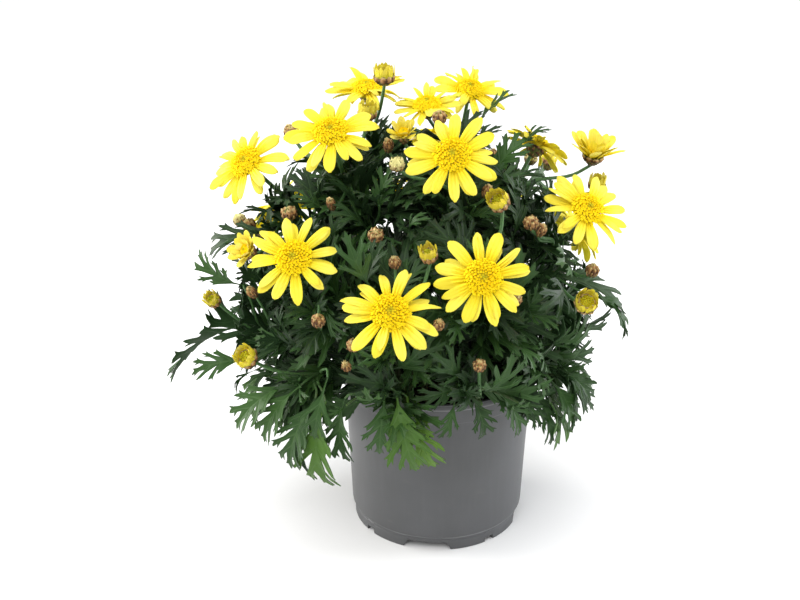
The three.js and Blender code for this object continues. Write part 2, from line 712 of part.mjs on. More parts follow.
function openingBud(head) {
  const half = head.width / 2;
  const rings = [
    [0, half * 0.82],
    [3.6, half],
    [7.2, half * 0.66],
  ];
  const centres = rings.map(([up]) => new THREE.Vector3(0, 0, GAP + up));
  return [meshOf(head.name, tube(centres, rings.map(([, r]) => r), 7, -1.8), LOOK.ray)];
}

function placeHead(head, random) {
  const makers = { open: openBloom, half: halfBloom, opening: openingBud };
  if (!(head.kind in makers)) return [];
  const spin = new THREE.Quaternion().setFromAxisAngle(UP, 2 * Math.PI * random());
  const turn = new THREE.Quaternion().setFromUnitVectors(UP, head.faces).multiply(spin);
  const bloom = new THREE.Group();
  bloom.position.copy(head.at);
  bloom.quaternion.copy(turn);
  bloom.add(...makers[head.kind](head, random));
  return [bloom];
}

// A flat wedge of the ring between two radii, used to cut arches and recesses into the pot's foot.
function wedgeSolid(centreAngle, width, inner, outer, from, to) {
  const steps = Math.max(1, Math.round(width / 8));
  const shape = new THREE.Shape();
  const at = (r, k) => {
    const a = THREE.MathUtils.degToRad(centreAngle - 90 + width * (k / steps - 0.5));
    return [r * Math.cos(a), r * Math.sin(a)];
  };
  shape.moveTo(...at(inner, 0));
  for (let k = 0; k <= steps; k += 1) shape.lineTo(...at(outer, k));
  for (let k = steps; k > 0; k -= 1) shape.lineTo(...at(inner, k));
  const depth = to - from;
  const geometry = new THREE.ExtrudeGeometry(shape, { depth, bevelEnabled: false });
  return solidFromGeometry(geometry.translate(0, 0, from));
}

function slantedSlot(centreAngle, width, height, slant) {
  const base = POT.footRadius * Math.sin(THREE.MathUtils.degToRad(width / 2));
  const shape = new THREE.Shape();
  shape.moveTo(-base - slant, -1);
  shape.lineTo(base + slant, -1);
  shape.lineTo(base - slant * 0.5, height);
  shape.lineTo(-base + slant * 0.5, height);
  const geometry = new THREE.ExtrudeGeometry(shape, { depth: 20, bevelEnabled: false });
  geometry.rotateX(Math.PI / 2).translate(0, -POT.footInnerRadius + 10, 0);
  return solidFromGeometry(geometry.rotateZ(THREE.MathUtils.degToRad(centreAngle)));
}

function potSolid() {
  const p = POT;
  const bandFoot = p.height - p.bandHeight;
  const lipFoot = p.height - p.lipHeight;
  const profile = [
    [0, p.floorUnderside],
    [p.footInnerRadius, p.floorUnderside],
    [p.footInnerRadius, 0],
    [p.footRadius, 0],
    [p.footRadius + 0.4, p.footHeight - 1],
    [p.wallFootRadius, p.footHeight + 1],
    [p.wallTopRadius, bandFoot],
    [p.bandRadius, bandFoot + 0.6],
    [p.bandRadius, lipFoot],
    [p.lipRadius, lipFoot + 0.4],
    [p.lipRadius, p.height],
    [p.wallTopRadius - p.wall + 0.4, p.height],
    [p.wallTopRadius - p.wall, bandFoot],
    [p.footRadius - p.wall - 0.4, p.floorTop + 4],
    [p.footRadius - p.wall - 1.8, p.floorTop],
    [0, p.floorTop],
  ].map(([r, z]) => new THREE.Vector2(r, z));
  let pot = solidFromGeometry(new THREE.LatheGeometry(profile, p.segments).rotateX(Math.PI / 2));
  for (let k = 0; k < 4; k += 1) {
    const arch = p.archAngle + 90 * k;
    pot = pot.subtract(slantedSlot(arch, p.archWidth, p.archHeight, p.archSlant));
    pot = pot.subtract(
      wedgeSolid(arch, p.archWidth + 2, p.recessRadius, p.lipRadius, -1, p.footHeight - 1),
    );
    pot = pot.subtract(slantedSlot(arch + 45, p.notchWidth, p.notchHeight, 0.4));
    const drain = new THREE.CylinderGeometry(p.drainRadius, p.drainRadius, 6, 8);
    const a = THREE.MathUtils.degToRad(arch - 90);
    drain.rotateX(Math.PI / 2);
    drain.translate(p.drainOrbit * Math.cos(a), p.drainOrbit * Math.sin(a), p.floorTop - 1);
    pot = pot.subtract(solidFromGeometry(drain));
  }
  return pot;
}

function soilSolid() {
  const bandFoot = POT.height - POT.bandHeight;
  const low = POT.floorTop + GAP;
  const wallAt = (z) => {
    const rise = (z - POT.floorTop - 4) / (bandFoot - POT.floorTop - 4);
    const foot = POT.footRadius - POT.wall - 0.4;
    return foot + (POT.wallTopRadius - POT.wall - foot) * rise - 2 * GAP;
  };
  const rings = [
    [POT.footRadius - POT.wall - 1.8 - 2 * GAP, low],
    [wallAt(POT.floorTop + 4) - 0.2, POT.floorTop + 4.2],
    [wallAt(SOIL.top - 2), SOIL.top - 2],
    [wallAt(SOIL.top - 2) - 6, SOIL.top - 0.5],
    [34, SOIL.top],
    [16, SOIL.top + 0.5],
  ];
  const sides = SOIL.segments;
  const points = [new THREE.Vector3(0, 0, low)];
  const faces = [];
  rings.forEach(([r, z], ring) => {
    for (let i = 0; i < sides; i += 1) {
      const turn = (2 * Math.PI * i) / sides;
      const bump = ring > 2 ? SOIL.relief * Math.sin(5 * turn + 2.3 * ring) * Math.cos(3 * turn) : 0;
      points.push(new THREE.Vector3(r * Math.cos(turn), r * Math.sin(turn), z + bump));
    }
  });
  points.push(new THREE.Vector3(0, 0, SOIL.top));
  const end = points.length - 1;
  for (let i = 0; i < sides; i += 1) {
    const next = (i + 1) % sides;
    faces.push([0, 1 + next, 1 + i]);
    for (let ring = 0; ring < rings.length - 1; ring += 1) {
      const a = 1 + ring * sides + i;
      const b = 1 + ring * sides + next;
      faces.push([a, b, b + sides], [a, b + sides, a + sides]);
    }
    faces.push([end, end - sides + i, end - sides + next]);
  }
  let soil = solidOf(points, faces);
  for (const { root } of STEMS) {
    const radius = STEM.rootRadius + GAP + 0.25;
    const hole = new THREE.CylinderGeometry(radius, radius, SOIL.holeDepth + 10, SOIL.holeSides);
    hole.rotateX(Math.PI / 2);
    hole.translate(root[0] - POT.axis[0], root[1] - POT.axis[1], SOIL.top - SOIL.holeDepth / 2 + 5);
    soil = soil.subtract(solidFromGeometry(hole));
  }
  return soil;
}

const daisy = new THREE.Group();
const container = new THREE.Group();
container.position.set(...POT.axis, 0);
container.add(meshOf('pot', potSolid(), LOOK.pot), meshOf('soil', soilSolid(), LOOK.soil));
daisy.add(container);

const leaves = growLeaves();
stems.forEach((stem) => {
  const own = leaves.filter((leaf) => leaf.stem === stem.index);
  const name = `leafy_stem_${String(stem.index + 1).padStart(2, '0')}`;
  daisy.add(meshOf(name, stemSolid(stem, own), LOOK.leaf));
});

const bloomRandom = seeded(BUSH.seed + 1);
for (const head of heads) {
  for (const bloom of placeHead(head, bloomRandom)) daisy.add(bloom);
}

export default daisy;
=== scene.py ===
"""Potted marguerite daisy: a round bush of cut leaves and yellow blooms in a grey nursery pot.

The plant grows by one seeded rule, worked out in millimetres in the frame's own axes, and every
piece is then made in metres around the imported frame.
"""

import logging
from collections.abc import Sequence
from dataclasses import dataclass, field
from enum import Enum
from functools import cache
from itertools import product
from math import atan2, cos, floor, pi, radians, sin, sqrt, tau

import bpy
import numpy as np
from mathutils import Matrix, Quaternion, Vector
from mathutils.geometry import delaunay_2d_cdt


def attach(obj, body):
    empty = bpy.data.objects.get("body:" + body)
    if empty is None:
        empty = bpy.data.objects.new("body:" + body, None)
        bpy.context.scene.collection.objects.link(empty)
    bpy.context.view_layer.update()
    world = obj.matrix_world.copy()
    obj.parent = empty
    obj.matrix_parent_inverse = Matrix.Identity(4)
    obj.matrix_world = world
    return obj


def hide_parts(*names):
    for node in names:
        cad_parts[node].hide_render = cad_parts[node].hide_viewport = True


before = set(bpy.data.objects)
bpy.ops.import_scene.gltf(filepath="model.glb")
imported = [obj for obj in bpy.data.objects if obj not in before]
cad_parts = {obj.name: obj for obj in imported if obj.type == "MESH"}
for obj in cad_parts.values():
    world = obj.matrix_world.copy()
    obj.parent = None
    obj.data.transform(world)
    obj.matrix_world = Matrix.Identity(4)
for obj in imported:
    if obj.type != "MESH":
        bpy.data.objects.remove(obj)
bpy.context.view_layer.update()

MM = 0.001
GOLDEN = 2.399963
BUD_STALK = 34.0
BLOOM_STALK = 48.0
BODY = "root"
UP = np.array((0.0, 0.0, 1.0))
Z_AXIS = Vector((0, 0, 1))
EYE_MM = (0.0, -686.0, 426.0)
log = logging.getLogger("daisy")

Array = np.ndarray
Mesh = bpy.types.Mesh
Tree = bpy.types.NodeTree
Collection = bpy.types.Collection
Material = bpy.types.Material
Faces = list[tuple[int, ...]]
Pair = tuple[float, float]
Colour = tuple[float, float, float, float]
Point = tuple[float, float, float]


def srgb(code: str) -> Colour:
    """Linear colour of a hex code such as 35563a."""
    parts = [int(code[i : i + 2], 16) / 255 for i in (0, 2, 4)]
    return (*[((p + 0.055) / 1.055) ** 2.4 if p > 0.04045 else p / 12.92 for p in parts], 1.0)


def unit(vector: Array) -> Array:
    """The vector at length one."""
    return vector / sqrt(float(vector @ vector))


def segments(lines: Sequence[Array]) -> tuple[Array, Array]:
    """The starts and the steps of the straight parts of some lines."""
    start = np.concatenate([line[:-1] for line in lines])
    return start, np.concatenate([line[1:] for line in lines]) - start


def gaps(points: Array, start: Array, step: Array) -> Array:
    """Each point's distance to each straight part."""
    away = points[:, None] - start
    t = np.clip((away * step).sum(2) / np.maximum((step**2).sum(1), 1e-9), 0, 1)
    return np.sqrt(((away - step * t[..., None]) ** 2).sum(2))


def ease(value: float) -> float:
    """The value held between 0 and 1."""
    return max(0.0, min(1.0, value))


class Slot(Enum):
    """The record's material slots."""

    POT = "pot"
    SOIL = "soil"
    FOLIAGE = "foliage"
    PETALS = "petals"
    DISC = "disc_florets"


# Nodes and finishes


class Signal:
    """A node's output, on which Python's operators add Math nodes."""

    def __init__(self, graph: "Graph", socket: bpy.types.NodeSocket) -> None:
        """Keeps the socket and the graph that it belongs to."""
        self.graph = graph
        self.socket = socket

    def __add__(self, other: "Signal | float") -> "Signal":
        """The sum."""
        return self.graph.math("ADD", self, other)

    def __sub__(self, other: "Signal | float") -> "Signal":
        """The difference."""
        return self.graph.math("SUBTRACT", self, other)

    def __rsub__(self, other: float) -> "Signal":
        """The difference, from the right."""
        return self.graph.math("SUBTRACT", other, self)

    def __mul__(self, other: "Signal | float") -> "Signal":
        """The product."""
        return self.graph.math("MULTIPLY", self, other)

    def __truediv__(self, other: "Signal | float") -> "Signal":
        """The quotient."""
        return self.graph.math("DIVIDE", self, other)

    __radd__ = __add__
    __rmul__ = __mul__

    def __abs__(self) -> "Signal":
        """The value without its sign."""
        return self.graph.math("ABSOLUTE", self)

    def smooth(self, low: float, high: float) -> "Signal":
        """A soft step from 0 at low to 1 at high."""
        inputs = {"Value": self, "From Min": low, "From Max": high}
        return self.graph.node("ShaderNodeMapRange", {"interpolation_type": "SMOOTHSTEP"}, inputs)


Value = Signal | float


class Graph:
    """A node tree with one method that adds any node, sets it and wires it."""

    def __init__(self, tree: Tree) -> None:
        """Starts from an empty tree."""
        self.tree = tree
        tree.nodes.clear()

    def node(
        self, kind: str, settings: dict | None = None, inputs: dict | None = None, output: str | None = None
    ) -> Signal:
        """Adds one node.

        Args:
            kind: the node's type.
            settings: its own properties, set first.
            inputs: values or signals, by the socket's name or number.
            output: the output that is wanted, or None for the first that is in use.

        Returns:
            That output, or the first input where the node has no output.
        """
        made = self.tree.nodes.new(kind)
        for key, value in (settings or {}).items():
            setattr(made, key, value)
        for key, value in (inputs or {}).items():
            socket = self._find(made.inputs, key)
            if isinstance(value, Signal):
                self.tree.links.new(value.socket, socket)
            else:
                socket.default_value = value
        sockets = made.outputs if len(made.outputs) else made.inputs
        return Signal(self, self._find(sockets, output))

    @staticmethod
    def _find(sockets: Sequence[bpy.types.NodeSocket], key: str | int | None) -> bpy.types.NodeSocket:
        """The socket with that number or name, or the first in use."""
        if isinstance(key, int):
            return sockets[key]
        return next(s for s in sockets if s.enabled and key in (None, s.name))

    def math(self, operation: str, *values: Value) -> Signal:
        """A Math node on the values."""
        return self.node("ShaderNodeMath", {"operation": operation}, dict(enumerate(values)))

    def layers(self, colour: Signal | str, *layers: tuple[Value, str]) -> Signal:
        """The colour with others laid over it in order, each by its own mask."""
        for mask, tint in layers:
            base = srgb(colour) if isinstance(colour, str) else colour
            inputs = {"Factor": mask, "A": base, "B": srgb(tint)}
            colour = self.node("ShaderNodeMix", {"data_type": "RGBA"}, inputs)
        return colour

    def value(self, name: str) -> Signal:
        """A mesh value of that name, in a material."""
        return self.node("ShaderNodeAttribute", {"attribute_name": name}, output="Fac")

    def place(self, stretch: Point | None = None) -> Signal:
        """Object coordinates, stretched along the axes."""
        raw = self.node("ShaderNodeTexCoord", output="Object")
        if stretch is None:
            return raw
        return self.node("ShaderNodeVectorMath", {"operation": "MULTIPLY"}, {0: raw, 1: stretch})

    def upward(self, vector: Signal) -> Signal:
        """A vector's Z."""
        return self.node("ShaderNodeSeparateXYZ", None, {0: vector}, "Z")

    def noise(self, scale: float, detail: float = 2.0, stretch: Point | None = None) -> Signal:
        """Noise of that many cells a metre."""
        inputs = {"Vector": self.place(stretch), "Scale": scale, "Detail": detail}
        return self.node("ShaderNodeTexNoise", None, inputs)


@dataclass(frozen=True)
class Surface:
    """What a finish works out for its shader."""

    colour: Signal | Colour
    roughness: Value
    height: Value
    depth: float


@dataclass(frozen=True)
class Finish:
    """The base of every finish: a named material on one shader."""

    name: str
    specular: float = 0.5
    glow: float = 0.0

    def surface(self, graph: Graph) -> Surface:
        """What changes over the surface.

        Args:
            graph: the material's graph, to which its nodes are added.

        Returns:
            The inputs of its shader.
        """
        raise NotImplementedError

    @cache
    def material(self) -> Material:
        """The material with the finish's name, made once."""
        made = bpy.data.materials.new(self.name)
        made.use_nodes = True
        graph = Graph(made.node_tree)
        surface = self.surface(graph)
        bump = {"Strength": 1.0, "Distance": surface.depth, "Height": surface.height}
        inputs = {
            "Base Color": surface.colour,
            "Roughness": surface.roughness,
            "Normal": graph.node("ShaderNodeBump", None, bump),
            "Specular IOR Level": self.specular,
            "Subsurface Weight": self.glow,
            "Subsurface Radius": (1.0, 0.9, 0.25),
            "Subsurface Scale": 0.002,
        }
        shader = graph.node("ShaderNodeBsdfPrincipled", None, inputs)
        graph.node("ShaderNodeOutputMaterial", None, {"Surface": shader})
        return made


@dataclass(frozen=True)
class PotPlastic(Finish):
    """Grey moulded plastic with faint flow lines, scuffs and painted highlights along its edges."""

    base: str = "48494a"
    worn: str = "57585b"
    dust: str = "6e6d6b"
    # edge and edges: the colour and the heights of a painted highlight, light lines where the moulded edges
    # catch the light.
    edge: str = "8d8e90"
    edges: Point = (0.1004, 0.1038, 0.0088)

    def surface(self, graph: Graph) -> Surface:
        """Cloudy grey, drawn out along the wall, with a fine satin grain and painted highlights: light lines
        at the foot of the lip, at the top of the rim and at the top of the feet.
        """
        streaks = graph.noise(240.0, 3.0, (1.0, 1.0, 0.12))
        clouds = graph.noise(26.0, 3.0)
        scuffs = graph.noise(90.0, 6.0, (1.0, 1.0, 2.5)).smooth(0.62, 0.78)
        colour = graph.layers(
            self.base,
            (clouds.smooth(0.3, 0.75) * 0.45, self.worn),
            (streaks.smooth(0.45, 0.8) * 0.18, self.worn),
            (scuffs * 0.16, self.dust),
        )
        height = graph.upward(graph.place())
        # Painted highlight: a lighter grey in thin lines at each of these heights, where the edges catch the
        # light.
        for level in self.edges:
            near = 1.0 - abs(height - level).smooth(0.0002, 0.0008)
            colour = graph.layers(colour, (near * clouds.smooth(0.25, 0.6) * 0.6, self.edge))
        roughness = 0.42 + 0.16 * clouds + 0.1 * scuffs
        return Surface(colour, roughness, 0.6 * graph.noise(2600.0) + 0.4 * streaks, 0.00006)


@dataclass(frozen=True)
class Compost(Finish):
    """Dark moist potting compost."""

    dark: str = "17110d"
    bark: str = "3d2b1e"

    def surface(self, graph: Graph) -> Surface:
        """Near-black fibres with browner flecks."""
        fine = graph.noise(900.0, 5.0)
        colour = graph.layers(
            self.dark,
            (graph.noise(330.0, 3.0).smooth(0.55, 0.7), self.bark),
            (graph.value("tone").smooth(0.4, 1.0) * 0.8, self.bark),
        )
        return Surface(colour, 0.75 + 0.2 * fine, fine, 0.0008)


@dataclass(frozen=True)
class LeafGreen(Finish):
    """A leaf's satin green, deep on top and paler below, with light veins."""

    deep: str = "162814"
    mid: str = "315023"
    young: str = "5d8228"
    vein: str = "5f7f4c"
    under: str = "365232"
    tips: str = "241d12"

    def surface(self, graph: Graph) -> Surface:
        """Green by the leaf's own tone, lighter along its veins."""
        tone, edge, along, below = map(graph.value, ("tone", "across", "along", "below"))
        blotch = graph.noise(420.0, 3.0)
        line = 1.0 - edge.smooth(0.0, 0.22)
        colour = graph.layers(
            self.deep,
            (tone.smooth(0.05, 0.55), self.mid),
            (tone.smooth(0.5, 1.0), self.young),
            (blotch.smooth(0.35, 0.75) * 0.22, self.mid),
            (line * (0.24 - 0.1 * along), self.vein),
            (below * 0.55, self.under),
            ((edge * along).smooth(0.62, 0.95) * 0.4, self.tips),
        )
        height = 0.55 * edge.smooth(0.0, 0.35) + 0.25 * graph.noise(2400.0) + 0.3 * blotch
        return Surface(colour, 0.36 + 0.16 * blotch + 0.14 * below, height, 0.0003)


@dataclass(frozen=True)
class StalkGreen(Finish):
    """Ribbed green stems, browner and woodier towards the soil."""

    green: str = "4d7a3c"
    dull: str = "3b5a33"
    wood: str = "5c4a33"

    def surface(self, graph: Graph) -> Surface:
        """Green with lengthwise streaks, woody where it leaves the soil."""
        streaks = graph.noise(1500.0, 3.0, (1.0, 1.0, 0.15))
        old = 1.0 - (graph.upward(graph.place()) + 0.03 * streaks).smooth(0.1, 0.15)
        layers = ((streaks.smooth(0.3, 0.7), self.green), (old * 0.85, self.wood))
        return Surface(graph.layers(self.dull, *layers), 0.5 + 0.15 * streaks, streaks, 0.0004)


@dataclass(frozen=True)
class PetalYellow(Finish):
    """Lemon petals, warmer and darker at the foot and in their grooves with painted shade, with fine
    lengthwise veins.
    """

    lemon: str = "fdec5c"
    warm: str = "f9e01e"
    # foot: a warmer, darker yellow, painted shade at the petal's foot near the disc.
    foot: str = "f3c30a"
    # fold: painted shade, a deeper gold along the petal's two grooves.
    fold: str = "e8c010"
    bud: str = "b7c03a"

    def surface(self, graph: Graph) -> Surface:
        """Lemon at the tip to warm yellow with painted shade at the foot, streaked along the petal, with
        painted shade along its grooves.
        """
        along, across, tone = map(graph.value, ("along", "across", "tone"))
        veins = graph.math("SINE", across * 34.0) * 0.5 + 0.5
        soft = graph.noise(260.0)
        # Painted shade: a deeper gold along the two grooves, strongest towards the foot.
        aside = abs(abs(across) - 0.34)
        crease = (1.0 - aside.smooth(0.02, 0.14)) * (0.38 - 0.25 * along)
        colour = graph.layers(
            self.warm,
            (along.smooth(0.1, 0.75), self.lemon),
            # Painted shade: a warmer, darker yellow at the foot, near the disc.
            ((1.0 - along.smooth(0.0, 0.35)) * 0.6, self.foot),
            (veins * 0.16 + 0.25 * soft.smooth(0.4, 0.8), self.warm),
            (crease, self.fold),
            (tone.smooth(0.3, 1.0) * 0.5, self.warm),
            (tone.smooth(1.0, 1.6) * (0.8 - 1.3 * along), self.bud),
        )
        return Surface(colour, 0.55 + 0.1 * soft, 0.7 * veins + 0.3 * soft, 0.00016)


@dataclass(frozen=True)
class FloretGold(Finish):
    """Florets from golden yellow at the rim to green or ochre in the middle."""

    rim: str = "fee61a"
    gold: str = "fcdb08"
    heart: str = "a3ad22"
    # throat: painted shade, a darker orange-gold in each floret's throat, at its foot and on the dome
    # between florets.
    throat: str = "f2b806"

    def surface(self, graph: Graph) -> Surface:
        """Brighter at each floret's lips, with painted shade in a darker orange-gold in its throat, at its
        foot and on the dome between the florets.
        """
        out, along = map(graph.value, ("tone", "along"))
        soft = graph.noise(700.0)
        colour = graph.layers(
            self.heart,
            (out.smooth(0.0, 0.3), self.gold),
            (out.smooth(0.35, 1.0), self.rim),
            # Painted shade: darker orange-gold low in each floret and on the dome, where florets shade each
            # other.
            ((1.0 - along.smooth(0.15, 0.75)) * 0.35, self.throat),
        )
        return Surface(colour, 0.6 + 0.1 * soft, soft, 0.0002)


@dataclass(frozen=True)
class BractScale(Finish):
    """Calyx scales: blotched brown with dark margins, or cream on a pale bud."""

    green: str = "66752f"
    brown: str = "5a3819"
    tan: str = "a67b4a"
    dark: str = "2b1a10"
    cream: str = "d8d08c"

    def surface(self, graph: Graph) -> Surface:
        """Dark from the foot, blotched over the middle and papery at the tip."""
        along, tone = map(graph.value, ("along", "tone"))
        soft = graph.noise(1200.0, 3.0)
        blotch = graph.noise(420.0)
        width = abs(graph.value("across"))
        colour = graph.layers(
            self.brown,
            ((blotch + 0.3 * along).smooth(0.48, 0.74), self.tan),
            (tone.smooth(0.45, 0.9) * along.smooth(0.0, 0.4), self.cream),
            ((1.0 - along.smooth(0.0, 0.5)) * (0.7 - 0.5 * tone), self.dark),
            (width.smooth(0.55, 0.95) * (0.85 - 0.5 * tone), self.dark),
            ((along + 0.3 * blotch).smooth(0.85, 1.1) * (0.12 + 1.1 * tone), self.cream),
            ((1.0 - tone.smooth(0.0, 0.12)) * 0.6, self.green),
        )
        return Surface(colour, 0.6 + 0.15 * soft, soft, 0.0004)


@dataclass(frozen=True)
class StudioFloor(Finish):
    """The plain pale floor."""

    pale: Colour = (0.9, 0.9, 0.9, 1.0)

    def surface(self, graph: Graph) -> Surface:
        """Even, matt off-white."""
        return Surface(self.pale, 0.9, 0.0, 0.0)


POT_PLASTIC = PotPlastic("pot_plastic")
COMPOST = Compost("compost", specular=0.25)
LEAF_GREEN = LeafGreen("leaf_green", specular=0.2)
STALK_GREEN = StalkGreen("stalk_green")
PETAL_YELLOW = PetalYellow("petal_yellow", specular=0.15, glow=0.25)
FLORET_GOLD = FloretGold("floret_gold", specular=0.15, glow=0.12)
BRACT_SCALE = BractScale("bract_scale", specular=0.35)
STUDIO_FLOOR = StudioFloor("studio_floor", specular=0.1)


# Shapes and pieces


@dataclass
class Form:
    """A shape in the making: its points, its faces and the values that its finish reads."""

    points: Array
    faces: Faces
    values: dict[str, Array] = field(default_factory=dict)

    def mesh(self, name: str, sharp: float = 55.0) -> Mesh:
        """The shape as a smooth mesh.

        Args:
            name: the mesh's name.
            sharp: the least angle of a sharp edge, in degrees.

        Returns:
            The mesh.
        """
        made = bpy.data.meshes.new(name)
        made.from_pydata(self.points.tolist(), [], self.faces)
        for key, values in self.values.items():
            layer = made.attributes.new(key, "FLOAT", "POINT")
            layer.data.foreach_set("value", np.asarray(values, np.float32))
        made.polygons.foreach_set("use_smooth", [True] * len(made.polygons))
        made.set_sharp_from_angle(angle=radians(sharp))
        made.update()
        return made


def plate(top: Array, faces: Faces, thickness: float, values: dict[str, Array]) -> Form:
    """A thin closed plate under a sheet of faces that looks along +Z.

    Args:
        top: the sheet's points.
        faces: its faces, anticlockwise from above.
        thickness: how far the lower sheet lies below.
        values: the sheet's values, which the lower one repeats.

    Returns:
        The form, with the value "below" at 1 on the lower sheet.
    """
    count = len(top)
    ring = {(a, b) for face in faces for a, b in zip(face, (*face[1:], face[0]))}
    rim = [(a, a + count, b + count, b) for a, b in sorted(ring) if (b, a) not in ring]
    lower = [tuple(i + count for i in reversed(face)) for face in faces]
    both = {key: np.concatenate((v, v)) for key, v in values.items()}
    both["below"] = np.repeat((0.0, 1.0), count)
    return Form(np.concatenate((top, top - thickness * UP)), [*faces, *lower, *rim], both)


def grid_plate(places: tuple[Array, ...], measures: tuple[Array, Array], thickness: float) -> Form:
    """A thin closed plate from a grid of points.

    Args:
        places: the points' x, y and z, in rows along the plate.
        measures: how far along and across each point is.
        thickness: the plate's thickness.

    Returns:
        The form.
    """
    x, y, z, along, across = np.broadcast_arrays(*places, *measures)
    rows, columns = x.shape
    starts = [i * columns + j for i in range(rows - 1) for j in range(columns - 1)]
    faces = [(a, a + columns, a + columns + 1, a + 1) for a in starts]
    values = {"along": along.ravel(), "across": across.ravel()}
    return plate(np.stack((x, y, z), 2).reshape(-1, 3), faces, thickness, values)


def lathe(rows: list[Array], closed: bool = True) -> Form:
    """Rings of points joined in order from the lowest.

    Args:
        rows: the rings, all of one number of points, anticlockwise from above.
        closed: whether a fan closes each end.

    Returns:
        The form.
    """
    count = len(rows[0])
    points = np.concatenate(rows)
    pairs = list(enumerate((*range(1, count), 0)))
    starts = range(0, len(points) - count, count)
    faces = [(k + i, k + j, k + j + count, k + i + count) for k in starts for i, j in pairs]
    if closed:
        first, top = len(points), len(points) - count
        points = np.concatenate((points, [rows[0].mean(0)], [rows[-1].mean(0)]))
        for i, j in pairs:
            faces += [(first, j, i), (first + 1, top + i, top + j)]
    return Form(points, faces)


def even_turns(count: int) -> Array:
    """That many turns spread evenly round a circle."""
    return np.linspace(0, tau, count + 1)[:-1]


def ring_of(radius: Array | float, height: Array | float, turns: Array) -> Array:
    """A ring of points at these radii, heights and turns about +Z."""
    flat = np.stack((np.cos(turns), np.sin(turns)), 1) * np.reshape(radius, (-1, 1))
    return np.column_stack((flat, np.broadcast_to(height, len(turns))))


def stand(name: str, data: bpy.types.ID) -> bpy.types.Object:
    """A new object in the scene."""
    made = bpy.data.objects.new(name, data)
    bpy.context.scene.collection.objects.link(made)
    return made


def finish_piece(mesh: Mesh, slot: Slot, nodes: Sequence[str]) -> None:
    """Puts a finished mesh into the scene as one piece that stands for some nodes.

    Args:
        mesh: the mesh, in metres and in place, which names the piece.
        slot: the record's slot for the piece; not used.
        nodes: the nodes that it stands for.
    """
    piece = stand(mesh.name, mesh)
    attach(piece, BODY)
    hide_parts(*nodes)
    mesh.calc_loop_triangles()
    log.info("%s: %d triangles", piece.name, len(mesh.loop_triangles))


# Geometry node trees


class GeometryGraph(Graph):
    """A geometry tree with named inputs, which ends in Realize Instances and Set Material."""

    def __init__(self, name: str, **inputs: str) -> None:
        """Starts a tree that takes a geometry, a finish and these inputs, by name and socket."""
        super().__init__(bpy.data.node_groups.new(name, "GeometryNodeTree"))
        interface = self.tree.interface
        for key, kind in {"Geometry": "Geometry", "finish": "Material", **inputs}.items():
            interface.new_socket(key, in_out="INPUT", socket_type=f"NodeSocket{kind}")
        interface.new_socket("Geometry", in_out="OUTPUT", socket_type="NodeSocketGeometry")
        outputs = self.tree.nodes.new("NodeGroupInput").outputs
        self.given = {s.name: Signal(self, s) for s in outputs if s.name}

    def on(self, kind: str, shape: Signal, **inputs: object) -> Signal:
        """A geometry node on a shape, with inputs whose names are one word."""
        return self.node(f"GeometryNode{kind}", None, {"Geometry": shape, **inputs})

    def random(self, kind: str, low: object, high: object, shift: float = 0.0) -> Signal:
        """A random value for each point, by the tree's seed and a shift of it."""
        seed = self.given["seed"] + shift if shift else self.given["seed"]
        inputs = {"Min": low, "Max": high, "Seed": seed}
        return self.node("FunctionNodeRandomValue", {"data_type": kind}, inputs)

    def read(self, name: str, kind: str) -> Signal:
        """The points' values of that name."""
        return self.node("GeometryNodeInputNamedAttribute", {"data_type": kind}, {"Name": name})

    def keep_tone(self, points: Signal, tone: Signal) -> Signal:
        """The points with a tone kept on each."""
        inputs = {"Geometry": points, "Name": "tone", "Value": tone}
        return self.node("GeometryNodeStoreNamedAttribute", None, inputs)

    def combine(self, x: Value, y: Value, z: Value) -> Signal:
        """A vector from its parts."""
        return self.node("ShaderNodeCombineXYZ", None, {"X": x, "Y": y, "Z": z})

    def turn(self, angles: Signal) -> Signal:
        """A rotation from its three angles."""
        return self.node("FunctionNodeEulerToRotation", None, {0: angles})

    def turned(self, rotation: Signal, more: Signal) -> Signal:
        """A rotation followed by another about its own axes."""
        inputs = {"Rotation": rotation, "Rotate By": more}
        return self.node("FunctionNodeRotateRotation", {"rotation_space": "LOCAL"}, inputs)

    def forms(self, name: str, **settings: object) -> Signal:
        """The given collection of that name."""
        inputs = {"Collection": self.given[name], **settings}
        return self.node("GeometryNodeCollectionInfo", None, inputs)

    def copies(self, points: Signal, form: Signal, turn: Signal, size: Signal, **pick: object) -> Signal:
        """A copy on each point of a form, or of one picked from several."""
        inputs = {"Points": points, "Instance": form, "Rotation": turn, "Scale": size, **pick}
        return self.node("GeometryNodeInstanceOnPoints", None, inputs)

    def join(self, *parts: Signal) -> Signal:
        """Several shapes as one."""
        whole = self.tree.nodes.new("GeometryNodeJoinGeometry")
        for part in parts:
            self.tree.links.new(part.socket, whole.inputs[0])
        return Signal(self, whole.outputs[0])

    def end(self, shape: Signal) -> Tree:
        """Ends the tree in the shape, made real and given its finish."""
        solid = self.on("RealizeInstances", shape)
        self.node("NodeGroupOutput", None, {0: self.on("SetMaterial", solid, Material=self.given["finish"])})
        return self.tree


@cache
def join_tree() -> Tree:
    """The tree that makes a collection of parts one shape."""
    graph = GeometryGraph("join_parts", parts="Collection")
    return graph.end(graph.forms("parts"))


@cache
def set_tree() -> Tree:
    """The tree that sets a form on each point, turned, stretched and slightly tilted."""
    graph = GeometryGraph("set_forms", forms="Collection", tilt="Float", seed="Int")
    tilt = graph.given["tilt"]
    forms = graph.forms("forms", **{"Separate Children": True, "Reset Children": True})
    jitter = graph.random("FLOAT_VECTOR", tilt * -1.0, tilt)
    turn = graph.turned(graph.turn(graph.read("turn", "FLOAT_VECTOR")), graph.turn(jitter))
    size = graph.read("stretch", "FLOAT_VECTOR")
    pick = {"Pick Instance": True, "Instance Index": graph.read("form", "INT")}
    return graph.end(graph.copies(graph.given["Geometry"], forms, turn, size, **pick))


